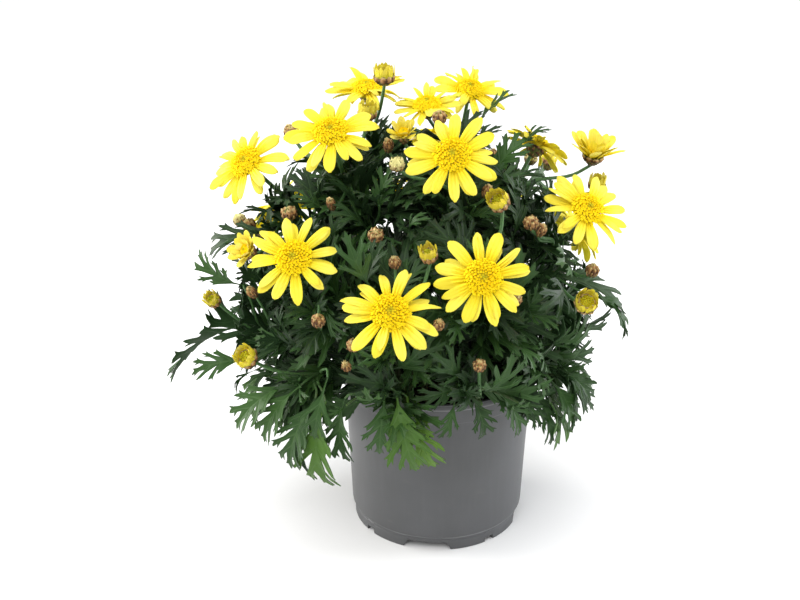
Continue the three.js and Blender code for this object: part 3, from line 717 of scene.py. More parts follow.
@cache
def sweep_tree() -> Tree:
    """The tree that carries a star-shaped section along each curve at its radius."""
    graph = GeometryGraph("sweep_stems", ribs="Int", rib_depth="Float")
    given = graph.given
    inputs = {"Resolution": given["ribs"] * 2.0, "Radius": 1.0}
    circle = graph.node("GeometryNodeCurvePrimitiveCircle", None, inputs)
    index = graph.node("GeometryNodeInputIndex")
    ribbed = 1.0 - given["rib_depth"] * graph.math("MODULO", index, 2.0)
    inputs = {"Vector": graph.node("GeometryNodeInputPosition"), "Scale": ribbed}
    wavy = graph.node("ShaderNodeVectorMath", {"operation": "SCALE"}, inputs)
    inputs = {
        "Curve": given["Geometry"],
        "Profile Curve": graph.on("SetPosition", circle, Position=wavy),
        "Scale": graph.node("GeometryNodeInputRadius"),
        "Fill Caps": True,
    }
    return graph.end(graph.on("SetShadeSmooth", graph.node("GeometryNodeCurveToMesh", None, inputs)))


@cache
def dome_tree() -> Tree:
    """The tree that fills a dome with a golden spiral of florets."""
    sizes = dict.fromkeys(("radius", "rise", "size", "lean", "ripeness"), "Float")
    others = {"count": "Int", "seed": "Int", "at": "Vector", "facing": "Rotation"}
    graph = GeometryGraph("floret_dome", florets="Collection", **sizes, **others)
    given = graph.given
    radius = given["radius"]
    points = graph.node("GeometryNodePoints", None, {"Count": given["count"]})
    index = graph.node("GeometryNodeInputIndex")
    out = graph.math("SQRT", (index + 0.5) / given["count"])
    turn = index * GOLDEN
    x = out * radius * graph.math("COSINE", turn)
    y = out * radius * graph.math("SINE", turn)
    z = given["rise"] * graph.math("SQRT", graph.math("MAXIMUM", 1.0 - 0.96 * out * out, 0.0))
    way = graph.combine(x, y, radius * (1.05 - given["lean"] * out * out))
    spin = graph.turn(graph.random("FLOAT_VECTOR", (-0.2, -0.2, -3.1), (0.2, 0.2, 3.1)))
    upright = graph.node("FunctionNodeAlignRotationToVector", {"axis": "Z"}, {"Vector": way})
    size = given["size"] * graph.random("FLOAT", 0.82, 1.2) * (0.62 + 0.5 * out)
    placed = graph.on("SetPosition", points, Position=graph.combine(x, y, z))
    placed = graph.keep_tone(placed, out * given["ripeness"])
    copies = graph.copies(placed, graph.forms("florets"), graph.turned(upright, spin), size)
    ball = graph.node("GeometryNodeMeshUVSphere", None, {"Segments": 20, "Rings": 12, "Radius": radius})
    dome = graph.on("Transform", ball, Scale=graph.combine(0.98, 0.98, given["rise"] / radius))
    whole = graph.on("RealizeInstances", graph.join(dome, copies))
    return graph.end(graph.on("Transform", whole, Translation=given["at"], Rotation=given["facing"]))


@cache
def crumb_tree() -> Tree:
    """The tree that strews lumps on a bed's top, turned and scaled at random."""
    sizes = dict.fromkeys(("density", "smallest", "largest"), "Float")
    graph = GeometryGraph("strew_crumbs", seed="Int", **sizes)
    given = graph.given
    upward = graph.upward(graph.node("GeometryNodeInputNormal"))
    inputs = {
        "Mesh": given["Geometry"],
        "Selection": graph.node("FunctionNodeCompare", None, {"A": upward, "B": 0.5}),
        "Density": given["density"],
        "Seed": given["seed"],
    }
    points = graph.node("GeometryNodeDistributePointsOnFaces", None, inputs)
    spin = graph.turn(graph.random("FLOAT_VECTOR", (0.0, 0.0, 0.0), (6.28, 6.28, 6.28)))
    share = graph.random("FLOAT", 0.0, 1.0, 5.0)
    size = given["smallest"] + (given["largest"] - given["smallest"]) * share * share
    toned = graph.keep_tone(points, graph.random("FLOAT", 0.0, 1.0, 9.0))
    lump = graph.node("GeometryNodeMeshIcoSphere", None, {"Radius": 1.0, "Subdivisions": 1})
    crumbs = graph.copies(toned, lump, spin, graph.combine(size * 1.5, size, size * 0.7))
    return graph.end(graph.join(given["Geometry"], crumbs))


def grown(name: str, source: bpy.types.ID | None, tree: Tree, finish: Finish, **values: object) -> Mesh:
    """Runs a geometry tree on some points or curves.

    Args:
        name: the mesh's name.
        source: the mesh or curve that the tree starts from, or None.
        tree: the tree.
        finish: the finish that it sets.
        values: its other inputs.

    Returns:
        A plain mesh, with nothing live left on it.
    """
    holder = stand(f"{name}_source", source or bpy.data.meshes.new(f"{name}_source"))
    modifier = holder.modifiers.new("grow", "NODES")
    modifier.node_group = tree
    sockets = {s.name: s.identifier for s in tree.interface.items_tree if s.in_out == "INPUT"}
    for key, value in {"finish": finish.material(), **values}.items():
        modifier[sockets[key]] = value
    graph = bpy.context.evaluated_depsgraph_get()
    solid = holder.evaluated_get(graph)
    mesh = bpy.data.meshes.new_from_object(solid, preserve_all_data_layers=True, depsgraph=graph)
    mesh.name = name
    holder.modifiers.clear()
    bpy.data.objects.remove(holder)
    return mesh


def gathered(name: str, meshes: Sequence[Mesh]) -> Collection:
    """A collection of meshes outside the scene, for a tree to take, in their order."""
    collection = bpy.data.collections.new(name)
    for k, mesh in enumerate(meshes):
        collection.objects.link(bpy.data.objects.new(f"{name}_{k:02d}", mesh))
    return collection


@dataclass(frozen=True)
class Spot:
    """Where one copy of a form goes, in metres."""

    at: Vector
    turn: Quaternion
    stretch: Point
    form: int
    tone: float


class Scatter:
    """Sets forms on spots by a geometry tree."""

    def __init__(self, name: str, forms: Sequence[Form], finish: Finish, sharp: float) -> None:
        """Keeps the forms, in the order of their numbers, in a collection for the tree."""
        self.finish = finish
        self.forms = gathered(f"{name}_forms", [form.mesh(f"{name}_form", sharp) for form in forms])

    def on(self, name: str, spots: Sequence[Spot], tilt: float, seed: int) -> Mesh:
        """Copies of the forms on the spots.

        Args:
            name: the mesh's name.
            spots: the spots.
            tilt: how far a copy may be tilted at random, in radians.
            seed: the seed of that tilt.

        Returns:
            A plain mesh.
        """
        points = bpy.data.meshes.new(f"{name}_spots")
        points.from_pydata([spot.at for spot in spots], [], [])
        for key, kind, values in (
            ("turn", "FLOAT_VECTOR", [tuple(spot.turn.to_euler()) for spot in spots]),
            ("stretch", "FLOAT_VECTOR", [spot.stretch for spot in spots]),
            ("form", "INT", [spot.form for spot in spots]),
            ("tone", "FLOAT", [spot.tone for spot in spots]),
        ):
            layer = points.attributes.new(key, kind, "POINT")
            layer.data.foreach_set("vector" if kind == "FLOAT_VECTOR" else "value", np.ravel(values))
        return grown(name, points, set_tree(), self.finish, forms=self.forms, tilt=tilt, seed=seed)


def sweep(name: str, lines: Sequence[tuple[Array, Array]]) -> Mesh:
    """Ribbed stems swept along lines.

    Args:
        name: the mesh's name.
        lines: each stem's points and radii, in millimetres.

    Returns:
        A plain mesh.
    """
    curve = bpy.data.curves.new(f"{name}_lines", "CURVE")
    curve.dimensions = "3D"
    for points, radii in lines:
        spline = curve.splines.new("POLY")
        spline.points.add(len(points) - 1)
        for spot, point, radius in zip(spline.points, points, radii):
            spot.co = (*(point * MM), 1.0)
            spot.radius = radius * MM
    return grown(name, curve, sweep_tree(), STALK_GREEN, ribs=5, rib_depth=0.12)


# The plant's layout


class Seeded:
    """A small seeded generator, so that every run grows the same plant."""

    def __init__(self, seed: int) -> None:
        """Starts at the seed."""
        self.state = seed

    def __call__(self) -> float:
        """The next number from 0 up to 1."""
        self.state = (self.state * 1664525 + 1013904223) & 0xFFFFFFFF
        return self.state / 4294967296

    def between(self, low: float, high: float) -> float:
        """The next number, between two limits."""
        return low + (high - low) * self()


class Opening(Enum):
    """How far a flower head has opened, by what its nodes are called."""

    OPEN = "bloom"
    HALF = "half_bloom"
    OPENING = "opening_bud"
    CLOSED = "bud"


@dataclass(frozen=True)
class Cup:
    """The calyx cup or closed bud of one kind of head, in millimetres up from its neck.

    Its outline gives heights and radii. Past the first row, the radii are parts of the head's
    width, other than an open bloom's. The scales' length is a part of the depth.
    """

    depth: float
    scale_length: float
    outline: tuple[Pair, ...]


CUPS = {
    Opening.OPEN: Cup(7, 0.42, ((0, 1.2), (1.5, 2.6), (3.4, 4.6), (5.6, 5.9), (7, 6.3), (7.3, 5))),
    Opening.HALF: Cup(6.5, 0.46, ((0, 1.1), (1.2, 0.11), (3, 0.18), (5.2, 0.24), (6.6, 0.24), (7, 0.16))),
    Opening.OPENING: Cup(
        5.5, 0.8, ((0, 1.1), (0.7, 0.22), (1.9, 0.38), (3.4, 0.44), (4.9, 0.43), (5.6, 0.3))
    ),
    Opening.CLOSED: Cup(8.5, 0.56, ((0, 1), (0.8, 0.26), (2.4, 0.42), (4.6, 0.46), (6.8, 0.35), (8.3, 0.1))),
}


@dataclass
class Head:
    """A flower head: the middle of its bloom's base or bud's top, the way it faces and its stem."""

    name: str
    kind: Opening
    stem: int
    at: Array
    faces: Array
    width: float

    def __post_init__(self) -> None:
        """Finds the neck, where the stalk meets the calyx."""
        self.at = np.array(self.at, float)
        self.faces = unit(np.array(self.faces, float))
        self.neck = self.at - self.faces * CUPS[self.kind].depth


# Each kind's heads: stem, point, the way it faces and width.
HEAD_ROWS = {
    Opening.OPEN: (
        (0, (-90, 4, 232), (-0.45, -0.55, 0.7), 53), (1, (-38, -36, 260), (-0.1, -0.5, 0.86), 54),
        (2, (-20, 28, 270), (-0.06, -0.18, 0.98), 50), (3, (16, 6, 265), (-0.1, -0.3, 0.95), 41),
        (3, (42, 34, 268), (0.15, -0.36, 0.92), 48), (4, (28, -64, 255), (-0.05, -0.75, 0.66), 53),
        (5, (-56, -89, 206), (-0.12, -0.74, 0.66), 51), (6, (-5, -114, 185), (0, -0.7, 0.71), 53),
        (7, (43, -104, 201), (0.06, -0.86, 0.5), 51), (8, (105, -40, 217), (0.32, -0.6, 0.73), 51),
        (9, (81, 12, 240), (0.5, 0.5, 0.7), 42), (10, (-78, 72, 182), (-0.55, 0.62, 0.56), 50),
        (11, (-8, 113, 180), (-0.1, 0.7, 0.71), 52), (12, (62, 94, 192), (0.35, 0.72, 0.6), 50),
        (11, (18, 84, 226), (0.05, 0.5, 0.86), 48), (12, (112, 40, 178), (0.75, 0.42, 0.51), 46),
    ),
    Opening.HALF: (
        (9, (115, 8, 236), (0.12, -0.2, 0.97), 27), (4, (2, -26, 257), (-0.1, -0.5, 0.86), 15),
        (0, (-86, -44, 194), (-0.55, -0.62, 0.56), 18),
    ),
    Opening.OPENING: (
        (2, (-9, -4, 286), (-0.02, -0.05, 1), 12.5), (1, (-19, 0, 264), (0.05, -0.1, 0.99), 11.5),
        (7, (53, -70, 232), (-0.45, -0.5, 0.74), 12.5), (6, (15, -93, 210), (-0.2, -0.4, 0.9), 9.5),
        (5, (-86, -75, 142), (-0.5, -0.55, 0.67), 13), (8, (103, -72, 174), (0.05, -0.7, 0.71), 13.5),
        (9, (117, 0, 221), (0.08, -0.2, 0.98), 10.5), (0, (-112, -21, 155), (-0.45, -0.6, 0.66), 9.5),
        (10, (-44, 98, 208), (-0.3, 0.6, 0.74), 11), (12, (96, 72, 214), (0.4, 0.5, 0.77), 11),
    ),
    Opening.CLOSED: (
        (1, (-65, 10, 253), (-0.2, -0.2, 0.96), 9.5), (4, (-2, -54, 251), (-0.1, -0.5, 0.86), 8.5),
        (3, (22, -30, 272), (0, -0.1, 0.99), 8), (5, (-63, -42, 220), (-0.1, -0.2, 0.97), 9),
        (0, (-92, -2, 199), (-0.3, -0.3, 0.9), 8.5), (5, (-44, -94, 176), (0, -0.3, 0.95), 7.5),
        (1, (-13, -80, 219), (0, -0.5, 0.86), 8.5), (8, (72, -57, 219), (-0.1, -0.3, 0.95), 8.5),
        (8, (112, -38, 184), (0.2, -0.2, 0.96), 8), (7, (43, -101, 152), (0, -0.5, 0.86), 7),
        (10, (-104, 42, 188), (-0.5, 0.3, 0.81), 8.5), (11, (30, 112, 190), (0.1, 0.6, 0.79), 8.5),
        (9, (84, 52, 226), (0.3, 0.3, 0.9), 8.5),
    ),
}
HEADS = [
    Head(f"{kind.value}_{k:02d}", kind, *row)
    for kind, rows in HEAD_ROWS.items()
    for k, row in enumerate(rows, 1)
]

# Small closed buds between the blooms: where each one is and its width.
SMALL_BUDS = (
    ((-3, -89, 207), 6.5), ((53, -74, 213), 6.5), ((49, -50, 235), 6), ((-88, -42, 171), 5.5),
    ((-26, -98, 162), 7.5), ((64, -86, 184), 6.5), ((-30, -100, 150), 5), ((-39, -54, 229), 4.5),
    ((-7, -22, 254), 6), ((114, -27, 165), 6.5), ((80, -52, 213), 6.5), ((21, -102, 176), 6),
    ((-67, 19, 252), 8), ((-95, 60, 170), 6.5), ((-30, 96, 196), 6.5), ((40, 98, 188), 6),
    ((98, 60, 188), 6.5), ((60, 60, 226), 6.5), ((-50, 56, 224), 6),
)

# Leaves that the bush shows apart: where each one leaves the mass, its tip and its pairs of lobes.
ACCENTS = (
    ((-62, -64, 122), (-97, -66, 94), 3), ((-57, -70, 122), (-77, -74, 86), 3),
    ((-48, -76, 117), (-64, -82, 75), 4), ((-42, -80, 117), (-41, -86, 64), 3),
    ((-40, -88, 136), (-48, -94, 100), 2), ((-31, -82, 120), (-30, -86, 82), 3),
    ((-8, -86, 126), (-13, -90, 87), 3), ((-2, -88, 127), (10, -94, 80), 4),
    ((4, -84, 122), (22, -88, 78), 3), ((31, -82, 122), (23, -86, 96), 2),
    ((39, -80, 122), (49, -84, 96), 3), ((55, -76, 122), (69, -80, 95), 3),
    ((66, -66, 116), (82, -70, 95), 2), ((108, -30, 163), (136, -31, 136), 3),
    ((92, -50, 124), (114, -54, 102), 3), ((86, -55, 120), (104, -60, 88), 3),
    ((78, -60, 114), (90, -66, 82), 2), ((-15, -86, 188), (-30, -91, 222), 2),
    ((-18, -86, 188), (-10, -90, 217), 2), ((46, 20, 248), (68, 18, 272), 3),
    ((66, 2, 238), (88, 0, 255), 3), ((-92, -30, 168), (-117, -32, 190), 3),
    ((-90, -40, 124), (-124, -44, 118), 3), ((34, 0, 234), (47, 8, 264), 3),
    ((42, -8, 230), (59, -2, 257), 3), ((52, -8, 224), (77, -2, 251), 4),
    ((56, -16, 216), (84, -20, 232), 3), ((-62, -6, 186), (-92, -10, 211), 3),
    ((-58, 0, 190), (-77, -2, 222), 2), ((-68, -10, 176), (-104, -14, 191), 3),
    ((-54, -6, 180), (-80, -8, 200), 4),
)

# How low the leaves hang, seen from the front: points across and up, at the front of the pot.
LOW_EDGE = (
    (-146, 108), (-135, 113), (-117, 106), (-97, 89), (-78, 80), (-66, 66), (-44, 53), (-36, 62),
    (-33, 84), (-27, 100), (-16, 103), (-12, 81), (3, 66), (17, 62), (23, 87), (29, 100), (49, 103),
    (59, 91), (83, 87), (95, 78), (112, 84), (128, 105), (138, 127),
)

# Each leafy stem: its place in the soil and where its low side shoot ends.
STEM_LINES = (
    ((-6, 2), (-88, -12, 124)), ((7, -9), None), ((11, 11), None), ((29, 12), None), ((25, -13), None),
    ((1, -23), (-62, -62, 120)), ((15, -31), (-14, -82, 116)), ((35, -30), (46, -82, 116)),
    ((50, -15), (92, -42, 118)), ((46, 2), (100, 10, 124)), ((-2, 20), (-66, 50, 120)),
    ((17, 32), (-10, 86, 116)), ((42, 24), (60, 74, 118)),
)

# Tips of the leaves that reach furthest, which give the bush its outline.
REACH = (
    (-136, -50, 112), (-129, -36, 130), (-119, -6, 152), (-112, -72, 104), (-51, -80, 62), (-70, -88, 78),
    (-4, -102, 74), (28, -100, 72), (92, -72, 82), (108, -60, 96), (137, -24, 148), (134, -8, 168),
    (134, 14, 138), (94, 14, 264), (66, 22, 268), (-116, -8, 178), (-60, 104, 84), (30, 112, 78),
    (96, 80, 92), (-116, 62, 110),
)

# Where the pairs of lobes meet the midrib along a blade, and each lobe's tip: distance and reach.
LOBES = {
    2: ((0.34, 0.56, 0.78), ((0.68, 0.95), (0.9, 0.72))),
    3: ((0.26, 0.43, 0.6, 0.78), ((0.53, 0.8), (0.73, 1.0), (0.9, 0.66))),
    4: ((0.2, 0.34, 0.48, 0.63, 0.79), ((0.42, 0.62), (0.6, 0.9), (0.76, 1.0), (0.9, 0.62))),
}


class Run(Enum):
    """A path's kind."""

    MAIN = (0.1, 0.8, 13, 2.5)
    SHOOT = (0.3, 0.98, 8, 1.5)
    STALK = (0.15, 0.5, 2, 1.2)
    TWIG = (0.2, 1.0, 8, 1.05)

    def __init__(self, low: float, high: float, leaves: int, radius: float) -> None:
        """Keeps where main leaves start and end on it, how many finer ones it has, and its radius."""
        self.low, self.high, self.leaves, self.radius = low, high, leaves, radius


@dataclass
class Path:
    """A stem's, stalk's or twig's run in straight steps."""

    kind: Run
    points: Array
    head: Head | None = None

    def spot(self, t: float) -> tuple[Array, Array]:
        """The point and heading at a part of the path from 0 to 1."""
        steps = len(self.points) - 1
        step = min(steps - 1, floor(t * steps))
        start, end = self.points[step], self.points[step + 1]
        return start + (end - start) * (t * steps - step), unit(end - start)


@dataclass(frozen=True)
class Blade:
    """A leaf's place: its start and the axes along, across and off its blade."""

    start: Array
    along: Array
    across: Array
    normal: Array
    length: float
    arch: float


@dataclass(frozen=True)
class Leaf:
    """A leaf that has found its room."""

    stem: int
    blade: Blade
    pairs: int
    samples: Array
    tip: Array


def sphere_way(i: int, count: int, turn: float) -> Array:
    """One of so many ways spread evenly over a sphere, at this turn about +Z."""
    z = 1 - (2 * (i + 0.5)) / count
    r = sqrt(1 - z * z)
    return np.array((r * cos(turn), r * sin(turn), z))


def curve(start: Array, heading: Array, end: Array, arrival: Array, slack: float, steps: int) -> Array:
    """Points of a smooth curve.

    Args:
        start: where it starts.
        heading: the way it leaves.
        end: where it ends.
        arrival: the way it arrives.
        slack: how far it keeps to its first heading, as a part of the distance.
        steps: its number of steps.

    Returns:
        Its points.
    """
    span = sqrt(float(((end - start) ** 2).sum()))
    near, far = start + heading * (span * slack), end - arrival * (span * 0.3)
    t = np.arange(steps + 1)[:, None] / steps
    k = 1 - t
    return k**3 * start + 3 * k**2 * t * near + 3 * k * t**2 * far + t**3 * end


def branch(paths: Sequence[Path], target: Array, wanted: float) -> tuple[Array, Array]:
    """Where a stalk can leave.

    Args:
        paths: the paths that may carry it.
        target: where it goes.
        wanted: about how long it should be.

    Returns:
        The point and the path's heading there.
    """
    best: tuple[float, Array, Array] | None = None
    for path in paths:
        for i in range(2, 17):
            point, tangent = path.spot(i / 20)
            away = target - point
            length = sqrt(float(away @ away))
            cost = abs(length - wanted) + 30 * max(0.0, 0.45 - float(away @ tangent) / length)
            if best is None or cost < best[0]:
                best = (cost, point, tangent)
    return best[1:]


@dataclass
class Plant:
    """The stems, leaves and twigs of the bush, in millimetres, by the same rule as its solids."""

    pot: "NurseryPot"
    soil_top: float
    seed: int = 4211
    centre: Point = (9.0, 0.0, 153.0)
    shell: Point = (112.0, 107.0, 105.0)
    outer_leaves: int = 130
    inner_leaves: int = 60
    inner_shell: float = 0.78
    lowest: float = 66.0
    spacing: float = 25.0
    cell_margin: float = 2.6
    front: Point = (0.0, -0.93, 0.37)
    pot_gap: float = 4.0
    shortest: float = 40.0
    longest: float = 60.0
    half_width: float = 0.27
    fold: float = 0.2
    wing: float = 0.034
    apart: float = 7.5
    off_stem: float = 3.8
    head_room: float = 2.5
    bud_room: Pair = (-12.0, 14.0)
    bloom_room: Pair = (-6.0, 18.0)
    calyx_depth: float = 14.0
    calyx_radius: float = 11.0
    view: float = 60.0
    view_width: float = 0.7

    def __post_init__(self) -> None:
        """Lays out the stems, then grows the main leaves."""
        self.leaves: list[Leaf] = []
        self.middle, self.size = np.array(self.centre), np.array(self.shell)
        self.ahead = unit(np.array(self.front))
        self.stems = [self._stem(k) for k in range(len(STEM_LINES))]
        lines = [[path.points for path in paths] for paths in self.stems]
        self._parts = segments([points for own in lines for points in own])
        counts = [sum(len(points) - 1 for points in own) for own in lines]
        self._first = np.cumsum([0, *counts[:-1]])
        self._spots = [self._leaf_spots(k) for k in range(len(self.stems))]
        self.keep_clear(HEADS)
        self._grow_leaves()

    def keep_clear(self, heads: Sequence[Head]) -> None:
        """Sets the heads that leaves keep clear of."""
        self._head_at = np.array([h.at for h in heads])
        self._head_faces = np.array([h.faces for h in heads])
        self._head_radius = np.array([h.width / 2 + self.head_room for h in heads])
        self._head_open = np.array([h.kind is Opening.OPEN for h in heads])

    def _stem(self, index: int) -> list[Path]:
        """A stem's paths: the main one to its widest head, a low side shoot and the heads' stalks."""
        root, shoot = STEM_LINES[index]
        own = [head for head in HEADS if head.stem == index]
        lead = max(own, key=lambda head: head.width)
        ground = np.array((*root, self.soil_top + 4.0))
        paths = [Path(Run.MAIN, curve(ground, UP, lead.neck, lead.faces, 0.42, 6), lead)]
        if shoot is not None:
            start = paths[0].spot(0.1)[0]
            end = np.array(shoot, float)
            out = unit((end - start) * (1, 1, 0))
            paths.append(Path(Run.SHOOT, curve(start, unit(out + UP * 0.7), end, out, 0.35, 4)))
        carriers = list(paths)
        for head in own:
            if head is not lead:
                wanted = BUD_STALK if head.kind is Opening.CLOSED else BLOOM_STALK
                line = curve(*branch(carriers, head.neck, wanted), head.neck, head.faces, 0.35, 3)
                paths.append(Path(Run.STALK, line, head))
        return paths

    def _leaf_spots(self, stem: int) -> tuple[Array, Array]:
        """All the points of a stem that leaves may start from, with their headings."""
        found = []
        for path in self.stems[stem]:
            low, length = path.kind.low, path.kind.high - path.kind.low
            found += [path.spot(low + length * i / 10) for i in range(11)]
        return np.array([p for p, _ in found]), np.array([t for _, t in found])

    def stem_distances(self, points: Array) -> Array:
        """Each point's distance to each stem."""
        return np.minimum.reduceat(gaps(points, *self._parts), self._first, axis=1)

    def nearest(self, point: Array) -> int:
        """The stem nearest a point."""
        return int(self.stem_distances(point[None])[0].argmin())

    def _in_cell(self, points: Array, stem: int) -> bool:
        """Whether the points are nearer this stem than any other, and off its own paths."""
        away = self.stem_distances(points)
        own = away[:, stem].copy()
        away[:, stem] = np.inf
        return bool((own >= self.off_stem).all() and (away.min(1) - own > self.cell_margin).all())

    def clear_of_heads(self, points: Array, small_view: float = 0.0) -> bool:
        """Whether points are out of every head and of the view of every open bloom.

        Args:
            points: the points.
            small_view: how far before the smaller heads is kept clear, in millimetres.

        Returns:
            Whether they all are.
        """
        offset = points[:, None, :] - self._head_at
        along = (offset * self._head_faces).sum(2)
        length = (offset**2).sum(2)
        off = np.sqrt(np.maximum(0, length - along**2))
        radius = self._head_radius
        (low, high), (back, front) = self.bud_room, self.bloom_room
        small = (along < low) | (along > high) | (off > radius)
        ahead = offset @ self.ahead
        aside = np.sqrt(np.maximum(0, length - ahead**2))
        small &= (ahead < 0) | (ahead > small_view) | (aside > radius * self.view_width)
        hides = (ahead > 0) & (ahead < self.view) & (aside < radius * self.view_width)
        calyx = (along > -self.calyx_depth) & (along < 0) & (off < self.calyx_radius)
        large = ~hides & ~calyx & ((along < back) | (along > front) | (off > radius))
        return bool(np.where(self._head_open, large, small).all())

    def above_low_edge(self, points: Array, slack: float = 0.0) -> bool:
        """Whether points before the pot are seen above the bush's low edge.

        Args:
            points: the points.
            slack: how far below it they may be, in millimetres.

        Returns:
            Whether they all are.
        """
        eye = np.array(EYE_MM)
        seen = eye + (points - eye) * ((-self.pot.lip_radius - eye[1]) / (points[:, 1:2] - eye[1]))
        low = np.interp(seen[:, 0], *np.array(LOW_EDGE).T)
        return bool(((seen[:, 2] > low - slack) | (points[:, 1] > 0)).all())

    def clear_of_pot(self, points: Array) -> bool:
        """Whether the points are above the pot or outside its wall."""
        pot = self.pot
        reach = np.hypot(points[:, 0] - pot.axis[0], points[:, 1] - pot.axis[1])
        above = points[:, 2] > pot.height + self.pot_gap
        return bool((above | (reach > pot.lip_radius + self.pot_gap)).all())

    def blade(self, start: Array, tip: Array, roll: float, arch: float) -> Blade:
        """The axes of a blade between its start and its tip."""
        along = tip - start
        length = sqrt(float(along @ along))
        along = along / length
        lift = unit(start + (tip - start) * 0.5 - self.middle) + UP * 0.4
        flat = unit(lift - along * float(lift @ along))
        normal = flat * cos(roll) + np.cross(flat, along) * sin(roll)
        return Blade(start, along, np.cross(normal, along), normal, length, arch)

    def samples(self, blade: Blade, pairs: int) -> Array:
        """Points of the blade's midrib, wings and lobes, with its tip as the fifth."""
        ribs, tips = LOBES[pairs]
        half = self.half_width * blade.length
        wing = self.wing * blade.length
        flat = [(s, 0.0) for s in (0.35, 0.5, 0.65, 0.9, 1.0)]
        for s in ribs:
            flat += [(s, wing), (s, -wing)]
        for s, reach in tips:
            for part in (1.0, 0.5):
                back, side = s - 0.1 * (1 - part), reach * half * part
                flat += [(back, side), (back, -side)]
        s, h = np.array(flat).T[..., None]
        height = blade.arch * blade.length * 4 * s * (1 - s) + self.fold * np.abs(h)
        return blade.start + s * blade.length * blade.along + h * blade.across + height * blade.normal

    def _leaf(self, tip: Array, wanted: float, pairs: int) -> Leaf | None:
        """One leaf towards the tip, bent and shortened until it keeps to its own stem's room."""
        stem = self.nearest(tip)
        siblings = [leaf for leaf in self.leaves if leaf.stem == stem]
        starts = np.array([leaf.blade.start for leaf in siblings]).reshape(-1, 3)
        others = np.concatenate([leaf.samples for leaf in siblings]) if siblings else np.zeros((0, 3))
        points, tangents = self._spots[stem]
        away = tip - points
        length = np.sqrt((away**2).sum(1))
        forward = (away * tangents).sum(1) / length
        crowd = (np.sqrt(((points[:, None] - starts) ** 2).sum(2)) < 3.5).sum(1)
        for near in (1, 0.75, 0.55):
            cost = np.abs(length - wanted * near) + 16 * np.abs(forward - 0.6) + 12 * crowd
            k = int(cost.argmin())
            start = points[k]
            for shrink, arch, roll in product((1, 0.84), (0.13, 0.24), (0, 0.45, -0.45, 0.9, -0.9)):
                end = start + (tip - start) * (min(1.0, self.longest / length[k]) * shrink)
                blade = self.blade(start, end, roll, arch)
                found = self.samples(blade, pairs)
                if (
                    blade.length > self.shortest * 0.6
                    and self.clear_of_pot(found)
                    and self.clear_of_heads(found)
                    and (((found[:, None] - others) ** 2).sum(2) > self.apart**2).all()
                    and self._in_cell(found, stem)
                ):
                    return Leaf(stem, blade, pairs, found, end)
        return None

    def _try_leaf(self, tip: Array, wanted: float, pairs: int, spacing: float) -> None:
        """Grows a leaf where no other has its tip within the spacing."""
        if all(((leaf.tip - tip) ** 2).sum() >= spacing**2 for leaf in self.leaves):
            leaf = self._leaf(tip, wanted, pairs)
            self.leaves += [leaf] if leaf else []

    def _grow_leaves(self) -> None:
        """Grows the leaves that reach furthest, then an outer and an inner layer."""
        random = Seeded(self.seed)
        for tip in REACH:
            self._try_leaf(np.array(tip, float), self.longest, 3, 0.0)
        layers = ((self.outer_leaves, 1.0, 1.0), (self.inner_leaves, self.inner_shell, 0.8))
        for count, scale, size in layers:
            for i in range(count):
                way = sphere_way(i, count, i * GOLDEN + 0.35 * (random() - 0.5))
                reach = scale * (0.9 + 0.16 * random())
                wanted = random.between(self.shortest, self.longest)
                tip = self.middle + self.size * reach * way
                if tip[2] > self.lowest:
                    self._try_leaf(tip, wanted * size, 2, self.spacing)


